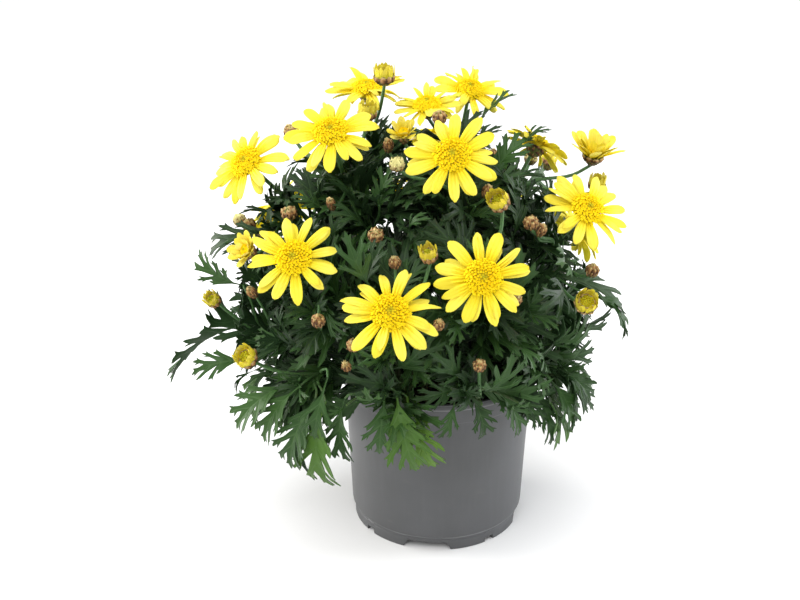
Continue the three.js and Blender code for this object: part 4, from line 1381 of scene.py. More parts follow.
@dataclass
class Thicket:
    """The finer growth between the main leaves: small buds, twigs and skirts of leaves."""

    plant: Plant
    seed: int = 905
    twigs: int = 92
    twig_shell: float = 0.8
    twig_lowest: float = 96.0
    skirt_top: float = 125.0
    skirts: int = 18
    skirt_reach: Point = (94.0, 88.0, 104.0)
    skirt_leaves: int = 4
    leaf_length: float = 52.0
    lowest: float = 62.0
    widest: float = 1.04
    skirt_slack: float = 0.22
    small_view: float = 40.0

    def __post_init__(self) -> None:
        """Sets the small buds, then grows the accents, twigs, skirts and inner leaves."""
        self.random = Seeded(self.seed)
        self.twig_lines, self.stalks, self.buds, self.leaves = [], [], [], []
        for k, (at, width) in enumerate(SMALL_BUDS, 1):
            self._set_bud(f"small_bud_{k:02d}", np.array(at, float), width)
        self.plant.keep_clear((*HEADS, *self.buds))
        for start, tip, pairs in ACCENTS:
            self._set_accent(np.array(start, float), np.array(tip, float), pairs)
        for i in range(self.twigs):
            self._grow_twig(i)
        for i in range(self.skirts):
            self._grow_skirt(i)
        for stem, paths in enumerate(self.plant.stems):
            for path in paths:
                self._dress(stem, path, path.kind.leaves, (0.12, 0.82), 1.05)

    def _fork(self, stem: int, target: Array, wanted: float) -> tuple[Array, Array]:
        """Where a twig or stalk leaves a stem or its side shoot, and its heading there."""
        carriers = [path for path in self.plant.stems[stem] if path.kind is not Run.STALK]
        return branch(carriers, target, wanted)

    def _set_bud(self, name: str, at: Array, width: float) -> None:
        """A small closed bud on its own stalk."""
        faces = unit(unit(at - self.plant.middle) + 1.1 * UP)
        stem = self.plant.nearest(at - 12 * faces)
        bud = Head(name, Opening.CLOSED, stem, at, faces, width)
        line = curve(*self._fork(stem, bud.neck, BUD_STALK), bud.neck + 0.8 * faces, faces, 0.35, 4)
        self.stalks.append((stem, line))
        self.buds.append(bud)

    def _set_accent(self, start: Array, tip: Array, pairs: int) -> None:
        """A leaf that shows apart, on a twig of its own from the nearest stem."""
        plant, between = self.plant, self.random.between
        stem = plant.nearest(start)
        arrival = unit(unit(tip - start) + 0.4 * UP)
        self.twig_lines.append((stem, curve(*self._fork(stem, start, 24), start, arrival, 0.4, 4)))
        blade = plant.blade(start, tip, between(-0.3, 0.3), between(0.12, 0.22))
        self.leaves.append(Leaf(stem, blade, pairs, plant.samples(blade, pairs), tip))

    def _grow_twig(self, i: int) -> None:
        """One twig towards its share of the bush's outside, with its leaves."""
        way = sphere_way(i, self.twigs, i * GOLDEN + 0.5 * (self.random() - 0.5))
        reach = self.twig_shell * (0.9 + 0.18 * self.random())
        tip = self.plant.middle + self.plant.size * reach * way
        if tip[2] > self.twig_lowest:
            leaves = Run.TWIG.leaves if tip[2] > self.skirt_top else self.skirt_leaves
            self._grow(tip, unit(way + 0.5 * UP), 44, leaves, 0.95)

    def _grow_skirt(self, i: int) -> None:
        """One low twig that leans out over the pot's rim, with hanging leaves."""
        turn = (i + self.random.between(0.2, 0.8)) * tau / self.skirts
        out = np.array((cos(turn), sin(turn), 0.0))
        reach = self.random.between(0.88, 1.08)
        tip = self.plant.middle * (1, 1, 0) + out * np.array(self.skirt_reach) * reach
        tip[2] = self.skirt_reach[2] + 16 * self.random()
        self._grow(tip, unit(out - 0.25 * UP), 40, self.skirt_leaves, 0.8)

    def _grow(self, tip: Array, arrival: Array, wanted: float, leaves: int, spread: float) -> None:
        """A twig from the nearest stem to a tip, and its leaves."""
        plant = self.plant
        stem = plant.nearest(tip)
        line = curve(*self._fork(stem, tip, wanted), tip, arrival, 0.4, 5)
        clear = plant.clear_of_pot(line[2:]) and plant.above_low_edge(line[2:])
        if clear and plant.clear_of_heads(line[2:], self.small_view):
            self.twig_lines.append((stem, line))
            self._dress(stem, Path(Run.TWIG, line), leaves, (0.25, 1.0), spread)

    def _dress(self, stem: int, path: Path, count: int, stretch: Pair, spread: float) -> None:
        """Leaves set round a path by the golden angle, pointing more forward towards its end.

        Args:
            stem: the path's stem.
            path: the path.
            count: how many leaves are tried.
            stretch: where the first and the last one stand along it.
            spread: the lowest leaf's angle off it, in radians.
        """
        plant, between = self.plant, self.random.between
        turn = 6.28 * self.random()
        for k in range(count):
            part = k / max(1, count - 1)
            point, tangent = path.spot(stretch[0] + (stretch[1] - stretch[0]) * part)
            side = unit(np.cross(tangent, (0.31, 0.83, 0.46)))
            turn += GOLDEN
            angle = spread * (1 - 0.5 * part) * between(0.8, 1.15)
            around = side * cos(turn) + np.cross(tangent, side) * sin(turn)
            droop = 0.5 * ease((132 - point[2]) / 30)
            heading = unit(tangent * cos(angle) + around * sin(angle) - droop * UP)
            reach = self.leaf_length * (1 - 0.3 * part) * between(0.72, 1.12)
            roll = between(-0.5, 0.5)
            pairs = (2, 3, 3, 2, 4)[int(5 * self.random())]
            arch = between(0.06, 0.22)
            for scale in (1.0, 0.75, 0.56):
                blade = plant.blade(point, point + heading * reach * scale, roll, arch)
                found = plant.samples(blade, pairs)
                if self._has_room(found):
                    self.leaves.append(Leaf(stem, blade, pairs, found, found[4]))
                    break

    def _has_room(self, found: Array) -> bool:
        """Whether a leaf's points are inside the bush and clear of the pot and the heads."""
        plant = self.plant
        off = (found - plant.middle) / plant.size
        room = self.widest + self.skirt_slack * np.clip((self.skirt_top - found[:, 2]) / 50, 0, 1)
        return (
            bool((np.sqrt((off**2).sum(1)) < room).all())
            and bool(found[:, 2].min() > self.lowest)
            and plant.above_low_edge(found)
            and plant.clear_of_pot(found)
            and plant.clear_of_heads(found, self.small_view)
        )


# Forms of leaf, petal, floret and scale


@dataclass(frozen=True)
class LeafCut:
    """One cut leaf of length one: its lobes, teeth and veins, and how its blade is bent."""

    pairs: int
    seed: int
    half_width: float = 0.27
    wing: float = 0.04
    lobe_half: float = 0.031
    thickness: float = 0.0095
    arch: float = 0.13
    fold: float = 0.2

    def _lobe(self, root: Array, tip: Array, half: float, random: Seeded) -> list[list[Array]]:
        """One lobe's margin and vein: a narrow band that bows forward and ends in sharp teeth."""
        span = sqrt(float(((tip - root) ** 2).sum()))
        knee = root + (tip - root) * 0.5 + np.array((-0.1, 0.13)) * span
        shift = random.between(-0.05, 0.05)

        def at(u: float, v: float) -> Array:
            """The point this far along the lobe and off its vein."""
            middle = (1 - u) ** 2 * root + 2 * u * (1 - u) * knee + u * u * tip
            ahead = unit((1 - u) * (knee - root) + u * (tip - knee))
            return middle + np.array((-ahead[1], ahead[0])) * (v * half)

        back = [(0.4 + shift, 1.0), (0.74, 1.0)]
        if random() < 0.7:
            back[1:] = [(0.66 + shift, 1.15), (0.86 + shift, 2.1), (0.8 + shift, 0.85)]
        front = [(0.9, -0.6), (0.7, -1.0), (0.34, -0.95)]
        if random() < 0.8:
            front[1:2] = [(0.76 - shift, -0.85), (0.9 - shift, -1.9), (0.6 - shift, -1.05)]
        margin = [at(u, v) for u, v in (*back, (0.93, 0.55), (1.02, 0.0), *front)]
        return [margin, [root - (0.03, 0), *[at(u, 0.0) for u in (0.3, 0.62, 0.93)]]]

    def _side(self, random: Seeded) -> tuple[list[Array], list[list[Array]]]:
        """One side's margin from the foot to the tip, and the veins of its lobes."""
        ribs, tips = LOBES[self.pairs]
        margin = [np.array(p) for p in ((0.0, 0.012), (0.1, 0.012), (ribs[0] * 0.72, 0.019))]
        veins = []
        for k, (s, reach) in enumerate(tips):
            root = np.array((0.6 * ribs[k] + 0.4 * ribs[k + 1] - 0.02, 0.0))
            side = reach * self.half_width * random.between(0.88, 1.04)
            tip = np.array((s + random.between(-0.02, 0.03), side))
            edge, vein = self._lobe(root, tip, self.lobe_half * random.between(0.88, 1.15), random)
            margin += edge
            if k < self.pairs - 1:
                margin.append(np.array((0.3 * ribs[k] + 0.7 * ribs[k + 1] - 0.03, self.wing)))
            veins.append(vein)
        tooth = random.between(0.9, 1.15)
        tail = [(ribs[-1] + 0.05, self.wing * 0.95), (ribs[-1] + 0.09, self.wing * 1.1)]
        tail += [(0.95, 0.068 * tooth), (0.935, 0.03), (0.972, 0.018)]
        return margin + [np.array(p) for p in tail], veins

    def form(self) -> Form:
        """The leaf as a thin closed plate, with "across" from 0 at its veins to 1 off them."""
        random = Seeded(self.seed)
        left, left_veins = self._side(random)
        right, right_veins = self._side(random)
        mirror = np.array((1.0, -1.0))
        outline = [*left, np.array((1.0, 0.0)), *[p * mirror for p in reversed(right)]]
        lines = [*left_veins, *[[p * mirror for p in vein] for vein in right_veins]]
        rib = sorted({0.03, 0.12, 0.2, 0.87, 0.97, *[float(line[0][0]) for line in lines]})
        lines.append([np.array((s, 0.0)) for s in rib])
        points = [Vector(p) for p in outline]
        edges = [(k, (k + 1) % len(outline)) for k in range(len(outline))]
        for line in lines:
            edges += [(len(points) + k, len(points) + k + 1) for k in range(len(line) - 1)]
            points += [Vector(p) for p in line]
        flat, _, triangles, *_ = delaunay_2d_cdt(points, edges, [], 1, 1e-5)
        sheet = np.array([tuple(p) for p in flat])
        vein = gaps(sheet, *segments(lines)).min(1)
        values = {"along": sheet[:, 0], "across": np.clip(vein / 0.04, 0, 1)}
        return plate(self._bend(sheet, vein, random), [tuple(t) for t in triangles], self.thickness, values)

    def _bend(self, sheet: Array, vein: Array, random: Seeded) -> Array:
        """The flat leaf arched, folded along its midrib and waved along its lobes."""
        s, h = sheet.T
        out = np.abs(h) / self.half_width
        wave = random.between(0.02, 0.055)
        phase = random.between(0.0, 6.28)
        curl = np.where(h > 0, random.between(-0.07, 0.05), random.between(-0.07, 0.05))
        sway = random.between(-0.07, 0.07)
        lift = 4 * self.arch * s * (1 - s) + self.fold * np.abs(h)
        lift += wave * np.sin(11 * s + phase) * out**1.5 + curl * out**2
        lift -= random.between(0.02, 0.09) * np.maximum(0, s - 0.7) ** 2 / 0.09
        lift -= 0.006 * (1 - np.clip(vein / 0.02, 0, 1))
        return np.column_stack((s, h + sway * s * (1 - s) * 4 * 0.5, lift))


def grid_parts(rows: int, columns: int) -> tuple[Array, Array]:
    """How far along, from 0 to 1, and across, from -1 to 1, the points of a grid are."""
    return np.linspace(0, 1, rows)[:, None], np.linspace(-1, 1, columns)[None, :]


@dataclass(frozen=True)
class PetalCut:
    """One petal of length one: narrow foot, rounded or notched tip and two lengthwise grooves."""

    seed: int
    width: float = 0.3
    rows: int = 11
    columns: int = 7
    fall: float = 0.16
    groove: float = 0.028
    thickness: float = 0.016

    def form(self) -> Form:
        """The petal as a thin closed plate."""
        random = Seeded(self.seed)
        notch = random.between(0.0, 0.07)
        lean = random.between(-0.06, 0.06)
        cup = random.between(-0.05, 0.07)
        twist = random.between(-0.5, 0.5)
        widest = random.between(0.54, 0.66)
        s, v = grid_parts(self.rows, self.columns)
        s = 1 - (1 - s) ** 1.35
        swell = 0.36 + 0.64 * np.sin(np.minimum(s / widest, 1) * pi / 2)
        past = np.maximum(0, (s - widest) / (1 - widest))
        wide = self.width / 2 * swell * np.sqrt(1 - 0.86 * past**2.8)
        end = 1 - 0.05 * v**2 - notch * np.exp(-((v / 0.25) ** 2))
        x = s * (1 + (end - 1) * s**4)
        y = v * wide + lean * s**2
        ridge = self.groove * np.cos(3 * pi * v) * np.minimum(1, 4 * s) * (1.15 - s)
        z = 0.1 * s - (0.1 + self.fall) * s**2 + ridge + cup * v**2 * s + twist * v * wide * s
        z = z + 0.014 * np.sin(8 * s + 6 * random()) * s
        return grid_plate((x, y, z), (s, v), self.thickness)


@dataclass(frozen=True)
class ScaleCut:
    """One calyx scale of length one, curved to lie over a bud."""

    width: float = 0.62
    rows: int = 4
    columns: int = 3
    hug: float = 0.32
    thickness: float = 0.05

    def form(self) -> Form:
        """The scale as a thin closed plate."""
        s, v = grid_parts(self.rows, self.columns)
        wide = self.width / 2 * np.sqrt(np.maximum(0.04, 1 - ((s - 0.42) / 0.62) ** 2))
        z = 0.09 - self.hug * s**2 - 0.3 * self.width * v**2 + 0.03 * (1 - np.abs(v))
        return grid_plate((s * (1 - 0.1 * v**2 * s), v * wide, z), (s, v), self.thickness)


@dataclass(frozen=True)
class FloretCut:
    """One tubular floret of height one that flares into five pointed lips round its throat."""

    lips: int = 5
    foot: float = 0.26
    flare: float = 0.52
    throat: float = 0.6

    def form(self) -> Form:
        """The floret as a closed star-mouthed funnel."""
        count = 2 * self.lips
        turns = np.arange(count) * pi / self.lips
        tips = np.arange(count) % 2 == 0
        rows = [
            ring_of(self.foot, 0.0, turns),
            ring_of(np.where(tips, self.flare * 0.66, self.flare * 0.54), 0.72, turns),
            ring_of(np.where(tips, self.flare, self.flare * 0.62), np.where(tips, 1.0, 0.92), turns),
        ]
        form = lathe(rows, closed=False)
        middle, mouth = 3 * count, 2 * count
        form.points = np.concatenate((form.points, [(0.0, 0.0, self.throat)]))
        form.faces += [tuple(reversed(range(count)))]
        form.faces += [(middle, mouth + k, mouth + (k + 1) % count) for k in range(count)]
        form.values["along"] = np.append(np.repeat((0.0, 0.7, 1.0), count), 0.0)
        return form


# The pieces


def stood(
    place: Matrix, turn: float, foot: float, height: float, pitch: float, roll: float
) -> tuple[Vector, Quaternion]:
    """Where a petal or scale stands on a head.

    Args:
        place: the head's place, with +Z the way that it faces.
        turn: where it stands round the head.
        foot: how far from the middle its foot is, in millimetres.
        height: how high its foot is, in millimetres.
        pitch: how far it points up.
        roll: how far it is rolled about its length.

    Returns:
        Its foot and its rotation.
    """
    at = place @ Vector((foot * cos(turn) * MM, foot * sin(turn) * MM, height * MM))
    around, raised = Quaternion((0, 0, 1), turn), Quaternion((0, 1, 0), -pitch)
    return at, place.to_quaternion() @ around @ raised @ Quaternion((1, 0, 0), roll)


@dataclass
class FlowerHeads:
    """All the flower heads: petals, florets and the scales of their calyxes."""

    seed: int = 4212
    own_seed: int = 4262
    petal_tilt: float = 0.05
    petal_forms: int = 7
    bud_forms: int = 3
    petal_foot: float = 0.2
    extra_petals: int = 8
    scale_tiers: int = 3
    pale_buds: tuple[str, ...] = ("bud_02", "bud_11", "bud_13")

    def __post_init__(self) -> None:
        """Makes the forms that all heads share."""
        cuts = [PetalCut(60 + k).form() for k in range(self.petal_forms)]
        cuts += [PetalCut(80 + k, rows=6, columns=5).form() for k in range(self.bud_forms)]
        self.petals = Scatter("petal", cuts, PETAL_YELLOW, 60.0)
        self.scales = Scatter("scale", [ScaleCut().form()], BRACT_SCALE, 60.0)
        self.florets = gathered("floret_forms", [FloretCut().form().mesh("floret_form", 70.0)])
        self.random = Seeded(self.seed)
        self.own = Seeded(self.own_seed)

    def _place(self, head: Head) -> Matrix:
        """The head's place in metres, with +Z the way it faces and its seeded spin."""
        spin = Quaternion((0, 0, 1), tau * self.random())
        place = (Z_AXIS.rotation_difference(Vector(head.faces)) @ spin).to_matrix().to_4x4()
        place.translation = Vector(head.at * MM)
        return place

    def _petal(
        self, place: Matrix, turn: float, foot: float, height: float, pitch: float, size: Point, roll: float
    ) -> Spot:
        """One petal's spot, with its length, width and bend in millimetres."""
        at, full = stood(place, turn, foot, height, pitch, roll)
        form = int(self.petal_forms * self.own())
        return Spot(at, full, tuple(part * MM for part in size), form, self.own())

    def _star(self, count: int) -> list[Pair]:
        """Each ray's turn and its length as a part of the reach, as on the head's solid."""
        draw = self.random
        return [(tau * (k + 0.18 * (draw() - 0.5)) / count, 0.94 + 0.1 * draw()) for k in range(count)]

    def _open(self, head: Head, place: Matrix) -> list[Spot]:
        """An open bloom's petals: the main ones and some more in a layer below."""
        between = self.own.between
        reach = head.width / 2
        droop = 1.6 + 1.6 * self.random()
        spots = []
        foot = self.petal_foot * reach
        lift = 0.26 * ease((head.faces[2] - 0.86) / 0.08)
        for k, (turn, tip) in enumerate(self._star(12)):
            turn += between(-0.07, 0.07)
            length = tip * reach * between(0.95, 1.03) - foot
            height = (1.5, 0.8)[k % 2]
            bend = length * droop / 2.6
            size = (length, length * between(0.86, 1.12), bend * between(0.7, 1.5))
            pitch = between(-0.1, 0.17) + lift * between(0.6, 1.3)
            spots.append(self._petal(place, turn, foot, height, pitch, size, between(-0.45, 0.45)))
        for k in range(self.extra_petals):
            turn = tau * (k + between(0.2, 0.8)) / self.extra_petals
            length = reach * between(0.82, 0.99) - foot
            size = (length, length * between(0.85, 1.05), length * droop / 2.2)
            height, pitch = ((0.2, between(-0.12, 0.0)), (2.0, between(0.1, 0.24)))[k % 2]
            spots.append(self._petal(place, turn, foot, height, pitch + lift, size, between(-0.2, 0.2)))
        return spots

    def _half(self, head: Head, place: Matrix) -> list[Spot]:
        """A half-open bloom's petals, which stand up in a cup."""
        between = self.own.between
        reach = head.width / 2
        rays = self._star(8)
        spots = []
        for layer, (star, tip) in product(range(3), rays):
            pitch = between(0.6, 0.9) + 0.24 * layer
            length = 1.16 * reach * tip * (1 - 0.1 * layer)
            size = (length, length * between(1.35, 1.7), length * between(0.1, 0.8))
            turn = star + layer * 0.26 + between(-0.12, 0.12)
            foot = reach * (0.33 - 0.06 * layer)
            spots.append(self._petal(place, turn, foot, 0.2, pitch, size, between(-0.3, 0.3)))
        return spots

    def _opening(self, head: Head, place: Matrix) -> list[Spot]:
        """An opening bud's short petals, upright round its middle."""
        between = self.own.between
        half = head.width / 2
        spots = []
        for count, longest, out in ((17, 8.2, 0.86), (13, 6.4, 0.7)):
            for k in range(count):
                turn = tau * (k + between(-0.2, 0.2)) / count
                length = longest * between(0.86, 1.12) * (0.6 + half / 15)
                size = (length, half * 1.45, length * between(0.3, 0.9))
                spot = self._petal(place, turn, half * out, -2.2, between(1.4, 1.54), size, pi)
                form = self.petal_forms + spot.form % self.bud_forms
                spots.append(Spot(spot.at, spot.turn, spot.stretch, form, 1.4 + 0.4 * spot.tone))
        return spots

    def dress(self, head: Head) -> None:
        """Makes one head's petals and florets and puts them in for its nodes."""
        place = self._place(head)
        half = head.width / 2
        petals, lift, sizes, count, ripeness = {
            Opening.OPEN: (self._open, 0.9, (0.335 * half, 4.0, 1.9), 160, 1.0),
            Opening.HALF: (self._half, 0.8, (0.3 * half, 0.3 * half, 1.7), 60, 0.8),
            Opening.OPENING: (self._opening, -0.6, (0.62 * half, 1.9, 1.5), 50, 0.16),
        }[head.kind]
        rays, disc = ("_rays", "_disc") if head.kind is Opening.OPEN else ("", "")
        name = f"{head.name}_petals"
        mesh = self.petals.on(name, petals(head, place), self.petal_tilt, int(head.width * 7))
        finish_piece(mesh, Slot.PETALS, [head.name + rays])
        place.translation = place @ Vector((0, 0, lift * MM))
        values = {"at": tuple(place.translation), "facing": tuple(place.to_euler()), "lean": 0.75}
        values |= {key: size * MM for key, size in zip(("radius", "rise", "size"), sizes)}
        values |= {"count": count, "ripeness": ripeness, "seed": int(head.width * 13)}
        name = f"{head.name}_florets"
        mesh = grown(name, None, dome_tree(), FLORET_GOLD, florets=self.florets, **values)
        finish_piece(mesh, Slot.DISC, [head.name + disc])

    def calyx(self, head: Head) -> tuple[Form, list[Spot]]:
        """A head's cup or bud, with the scales that cover it.

        Args:
            head: the head.

        Returns:
            The cup in metres, and the scales' spots.
        """
        place = Z_AXIS.rotation_difference(Vector(head.faces)).to_matrix().to_4x4()
        place.translation = Vector(head.neck * MM)
        cup = CUPS[head.kind]
        closed = head.kind is Opening.CLOSED
        heights, radii = np.array(cup.outline).T
        radii[1:] *= 1.0 if head.kind is Opening.OPEN else head.width
        turns = even_turns(12)
        body = lathe([ring_of(r * MM, z * MM, turns) for z, r in zip(heights, radii)])
        body.points = np.array([tuple(place @ Vector(p)) for p in body.points])
        pale = 1.0 if head.name in self.pale_buds else 0.35
        count = 7 if closed else 9
        spots = []
        for tier in range(self.scale_tiers):
            part = tier / (self.scale_tiers - 1)
            low = cup.depth * (0.06 + (0.5 if closed else 0.62) * part)
            r, above, below = (float(np.interp(low + up, heights, radii)) for up in (0.0, 1.2, -0.4))
            pitch = atan2(1.6, above - below)
            wide = max(2.0, tau * r / count * 1.3)
            curl = 1.6 if closed and tier == 2 else 1.0
            tone = pale * (0.5 + 0.5 * part) if closed else 0.08 + 0.2 * part
            for k in range(count):
                turn = tau * (k + 0.5 * (tier % 2) + self.own.between(-0.12, 0.12)) / count
                length = cup.depth * cup.scale_length * self.own.between(0.85, 1.1)
                stretch = (length * MM, wide / ScaleCut.width * MM, length * curl * MM)
                spots.append(Spot(*stood(place, turn, r, low, pitch, pi), stretch, 0, tone))
        return body, spots


@dataclass
class Foliage:
    """Each leafy stem: its stems and twigs, its leaves, and the calyxes and closed buds on it."""

    plant: Plant
    thicket: Thicket
    heads: FlowerHeads
    seed: int = 77
    leaf_tilt: float = 0.06
    scale_tilt: float = 0.05
    stalk_radius: float = 0.95
    hole_depth: float = 14.0

    def __post_init__(self) -> None:
        """Cuts the leaf forms, three or four for each number of lobes."""
        counts = {2: 3, 3: 4, 4: 3}
        cuts = [(pairs, 10 * pairs + 11 + k) for pairs, count in counts.items() for k in range(count)]
        self.forms = {pairs: [k for k, cut in enumerate(cuts) if cut[0] == pairs] for pairs in counts}
        self.scatter = Scatter("leaf", [LeafCut(*cut).form() for cut in cuts], LEAF_GREEN, 50.0)
        self.random = Seeded(self.seed)

    @staticmethod
    def _rounded(points: Array) -> Array:
        """The line with its corners cut twice, so that it bends and does not break."""
        for _ in range(2):
            steps = zip(points[:-1], points[1:])
            inner = [np.array((a + (b - a) * 0.2, a + (b - a) * 0.8)) for a, b in steps]
            points = np.concatenate((points[:1], *inner, points[-1:]))
        return points

    def _lines(self, stem: int) -> list[tuple[Array, Array]]:
        """All the stem's lines with their radii."""
        runs = []
        for path in self.plant.stems[stem]:
            points = path.points
            if path.kind is Run.MAIN:
                foot = points[0] * (1, 1, 0) + UP * (self.plant.soil_top - self.hole_depth + 0.3)
                points = np.concatenate((foot[None], points))
            if path.head is not None:
                points = np.concatenate((points, (path.head.neck + path.head.faces * 0.8)[None]))
            runs.append((points, path.kind.radius, self.stalk_radius))
        for thin, found in ((0.6, self.thicket.twig_lines), (0.7, self.thicket.stalks)):
            runs += [(line, Run.TWIG.radius, thin) for owner, line in found if owner == stem]
        rounded = [(self._rounded(points), first, last) for points, first, last in runs]
        return [(points, np.linspace(first, last, len(points))) for points, first, last in rounded]

    def _spot(self, leaf: Leaf) -> Spot:
        """A leaf's spot, with a tone from dark inside to fresh below and outside."""
        blade = leaf.blade
        axes = Matrix([tuple(blade.along), tuple(blade.across), tuple(blade.normal)]).transposed()
        size = blade.length * MM
        forms = self.forms[leaf.pairs]
        form = forms[int(len(forms) * self.random())]
        middle = blade.start + blade.along * blade.length * 0.6
        off = (middle - self.plant.middle) / self.plant.size
        depth = sqrt(float(off @ off))
        low = ease((130 - middle[2]) / 45)
        near = max(0.0, 1 - abs(middle[0] - 6) / 46) if middle[1] < -60 else 0.0
        tone = 0.04 + 0.3 * max(0.0, depth - 0.5) + (0.1 + 0.5 * near) * low + 0.42 * self.random() ** 2
        stretch = (size, size, size * blade.arch / LeafCut.arch)
        return Spot(Vector(blade.start * MM), axes.to_quaternion(), stretch, form, min(1.0, tone))

    def dress(self, stem: int) -> None:
        """Makes one leafy stem's pieces."""
        number = f"{stem + 1:02d}"
        nodes = [f"leafy_stem_{number}"]
        main = [leaf for leaf in self.plant.leaves if self.plant.above_low_edge(leaf.samples, 5.0)]
        spots = [self._spot(leaf) for leaf in (*main, *self.thicket.leaves) if leaf.stem == stem]
        mesh = self.scatter.on(f"leaves_{number}", spots, self.leaf_tilt, 300 + stem)
        finish_piece(mesh, Slot.FOLIAGE, nodes)
        finish_piece(sweep(f"stalks_{number}", self._lines(stem)), Slot.FOLIAGE, nodes)
        cups, scales = [], []
        for head in (*HEADS, *self.thicket.buds):
            if head.stem == stem:
                cup, spots = self.heads.calyx(head)
                cups.append(cup.mesh(f"cup_{head.name}"))
                scales += spots
        cups.append(self.heads.scales.on(f"scales_{number}", scales, self.scale_tilt, 500 + stem))
        parts = gathered(f"calyx_parts_{number}", cups)
        whole = grown(f"calyxes_{number}", None, join_tree(), BRACT_SCALE, parts=parts)
        finish_piece(whole, Slot.FOLIAGE, nodes)


@dataclass
class NurseryPot:
    """The round moulded pot with its rim band, arched feet and drain holes, in millimetres."""

    axis: Pair = (24.0, 0.0)
    height: float = 104.0
    lip_radius: float = 60.0
    lip_foot: float = 100.0
    band_radius: float = 59.4
    band_foot: float = 91.0
    wall_top: float = 58.5
    wall_foot: float = 55.0
    foot_top: float = 9.0
    foot_radius: float = 53.4
    foot_inner: float = 50.0
    recess: float = 52.9
    floor_under: float = 6.4
    floor_top: float = 8.4
    floor_ring: float = 24.0
    arch_at: float = -8.0
    arch_height: float = 5.0
    arch_low: float = 16.2
    arch_high: float = 13.4
    recess_half: float = 15.5
    notch_height: float = 3.0
    notch_low: float = 3.8
    notch_high: float = 3.3
    drain_radius: float = 3.4
    drain_orbit: float = 40.0

    def _angles(self) -> Array:
        """The wall's turns in degrees, with every edge of the feet among them."""
        marks = list(np.arange(0.0, 360.0, 2.5))
        for quarter in range(4):
            arch = self.arch_at + 90 * quarter
            for half in (self.arch_low, self.arch_high, self.recess_half, self.recess_half - 6):
                marks += [arch - half, arch + half]
            for half in (self.notch_low, self.notch_high):
                marks += [arch + 45 - half, arch + 45 + half]
        return np.unique(np.round(np.mod(marks, 360.0), 3))

    @staticmethod
    def _near(angles: Array, centre: float, low: float, high: float) -> Array:
        """1 within the high angle of one of four centres a quarter turn apart, 0 past the low one."""
        away = np.abs((angles - centre + 45) % 90 - 45)
        return np.clip((low - away) / (low - high), 0, 1)

    def form(self) -> Form:
        """The pot's wall, feet and floor as one closed form of rings."""
        angles = self._angles()
        base = self.arch_height * self._near(angles, self.arch_at, self.arch_low, self.arch_high)
        notch = self._near(angles, self.arch_at + 45, self.notch_low, self.notch_high)
        base = np.maximum(base, self.notch_height * notch)
        sunk = self._near(angles, self.arch_at, self.recess_half, self.recess_half - 6)
        foot = self.foot_radius + (self.recess - self.foot_radius) * sunk
        crease = foot - 0.22 * (1 - sunk)
        inner, under, top, wall = self.foot_inner, self.floor_under, self.foot_top, self.wall_foot
        rings = [(0.01, under), (self.floor_ring, under), (inner - 1.2, under), (inner - 0.3, under - 0.3)]
        rings.append((inner, np.minimum(np.maximum(base + 0.5, 0.5), 5.9)))
        feet = [(inner + 0.5, 0.0), (foot - 0.45, 0.0), (foot - 0.1, 0.04), (foot, 0.12), (foot + 0.06, 0.7)]
        feet += [(crease, 0.76), (foot + 0.1, 0.82), (foot + 0.25, 0.99)]
        rings += [(radius, base + (top - base) * part) for radius, part in feet]
        rings += [(wall - 0.75, top + 0.35), (wall - 0.15, top + 1.1), (wall + 0.05, top + 2.4)]
        for part in np.linspace(0.1, 0.97, 10):
            rise = (self.band_foot - top - 2) * part
            rings.append((wall + (self.wall_top - wall) * part, top + 2 + rise))
        turns = np.radians(angles - 90)
        form = lathe([ring_of(radius, height, turns) for radius, height in rings + self._rim()])
        form.points = form.points * MM + (self.axis[0] * MM, self.axis[1] * MM, 0)
        return form

    def _rim(self) -> list[Pair]:
        """The rings from the band over the lip and down inside to the floor."""
        wall, band, lip = self.wall_top, self.band_radius, self.lip_radius
        low, step, rim, bottom = self.band_foot, self.lip_foot, self.height, self.floor_top
        outside = [(wall, low - 0.25), (wall + 0.15, low + 0.1), (band - 0.15, low + 0.55)]
        outside += [(band, low + 0.9), (band + 0.05, step - 0.3), (band + 0.15, step)]
        outside.append((lip - 0.12, step + 0.3))
        over = [(lip, step + 0.6), (lip, rim - 0.7), (lip - 0.25, rim - 0.15), (lip - 0.8, rim)]
        over += [(wall - 0.5, rim), (wall - 1.1, rim - 0.35), (wall - 1.3, rim - 1.2), (wall - 1.6, low)]
        inside = [(self.wall_foot - 1.1, bottom + 14), (self.foot_radius - 2.0, bottom + 4)]
        inside += [(self.foot_radius - 3.4, bottom), (self.floor_ring, bottom), (0.01, bottom)]
        return outside + over + inside

    def dress(self) -> None:
        """Makes the pot, bores its drain holes and puts it in for its node."""
        body = stand("pot_blank", self.form().mesh("pot_blank", 34.0))
        spare = [body]
        turns, ends = even_turns(32), (self.floor_under - 2, self.floor_top + 2)
        drill = lathe([ring_of(self.drain_radius, z, turns) for z in ends])
        for k in range(4):
            turn = radians(self.arch_at + 90 * k - 90)
            shift = (self.axis[0] + self.drain_orbit * cos(turn), self.drain_orbit * sin(turn), 0)
            cutter = stand(f"drill_{k}", Form((drill.points + shift) * MM, drill.faces).mesh(f"drill_{k}"))
            spare.append(cutter)
            cut = body.modifiers.new(f"drain_{k}", "BOOLEAN")
            cut.operation, cut.solver, cut.object = "DIFFERENCE", "EXACT", cutter
        graph = bpy.context.evaluated_depsgraph_get()
        mesh = bpy.data.meshes.new_from_object(body.evaluated_get(graph), depsgraph=graph)
        body.modifiers.clear()
        for thing in spare:
            bpy.data.objects.remove(thing)
        mesh.name = "pot_shell"
        mesh.materials.clear()
        mesh.materials.append(POT_PLASTIC.material())
        finish_piece(mesh, Slot.POT, ["pot"])


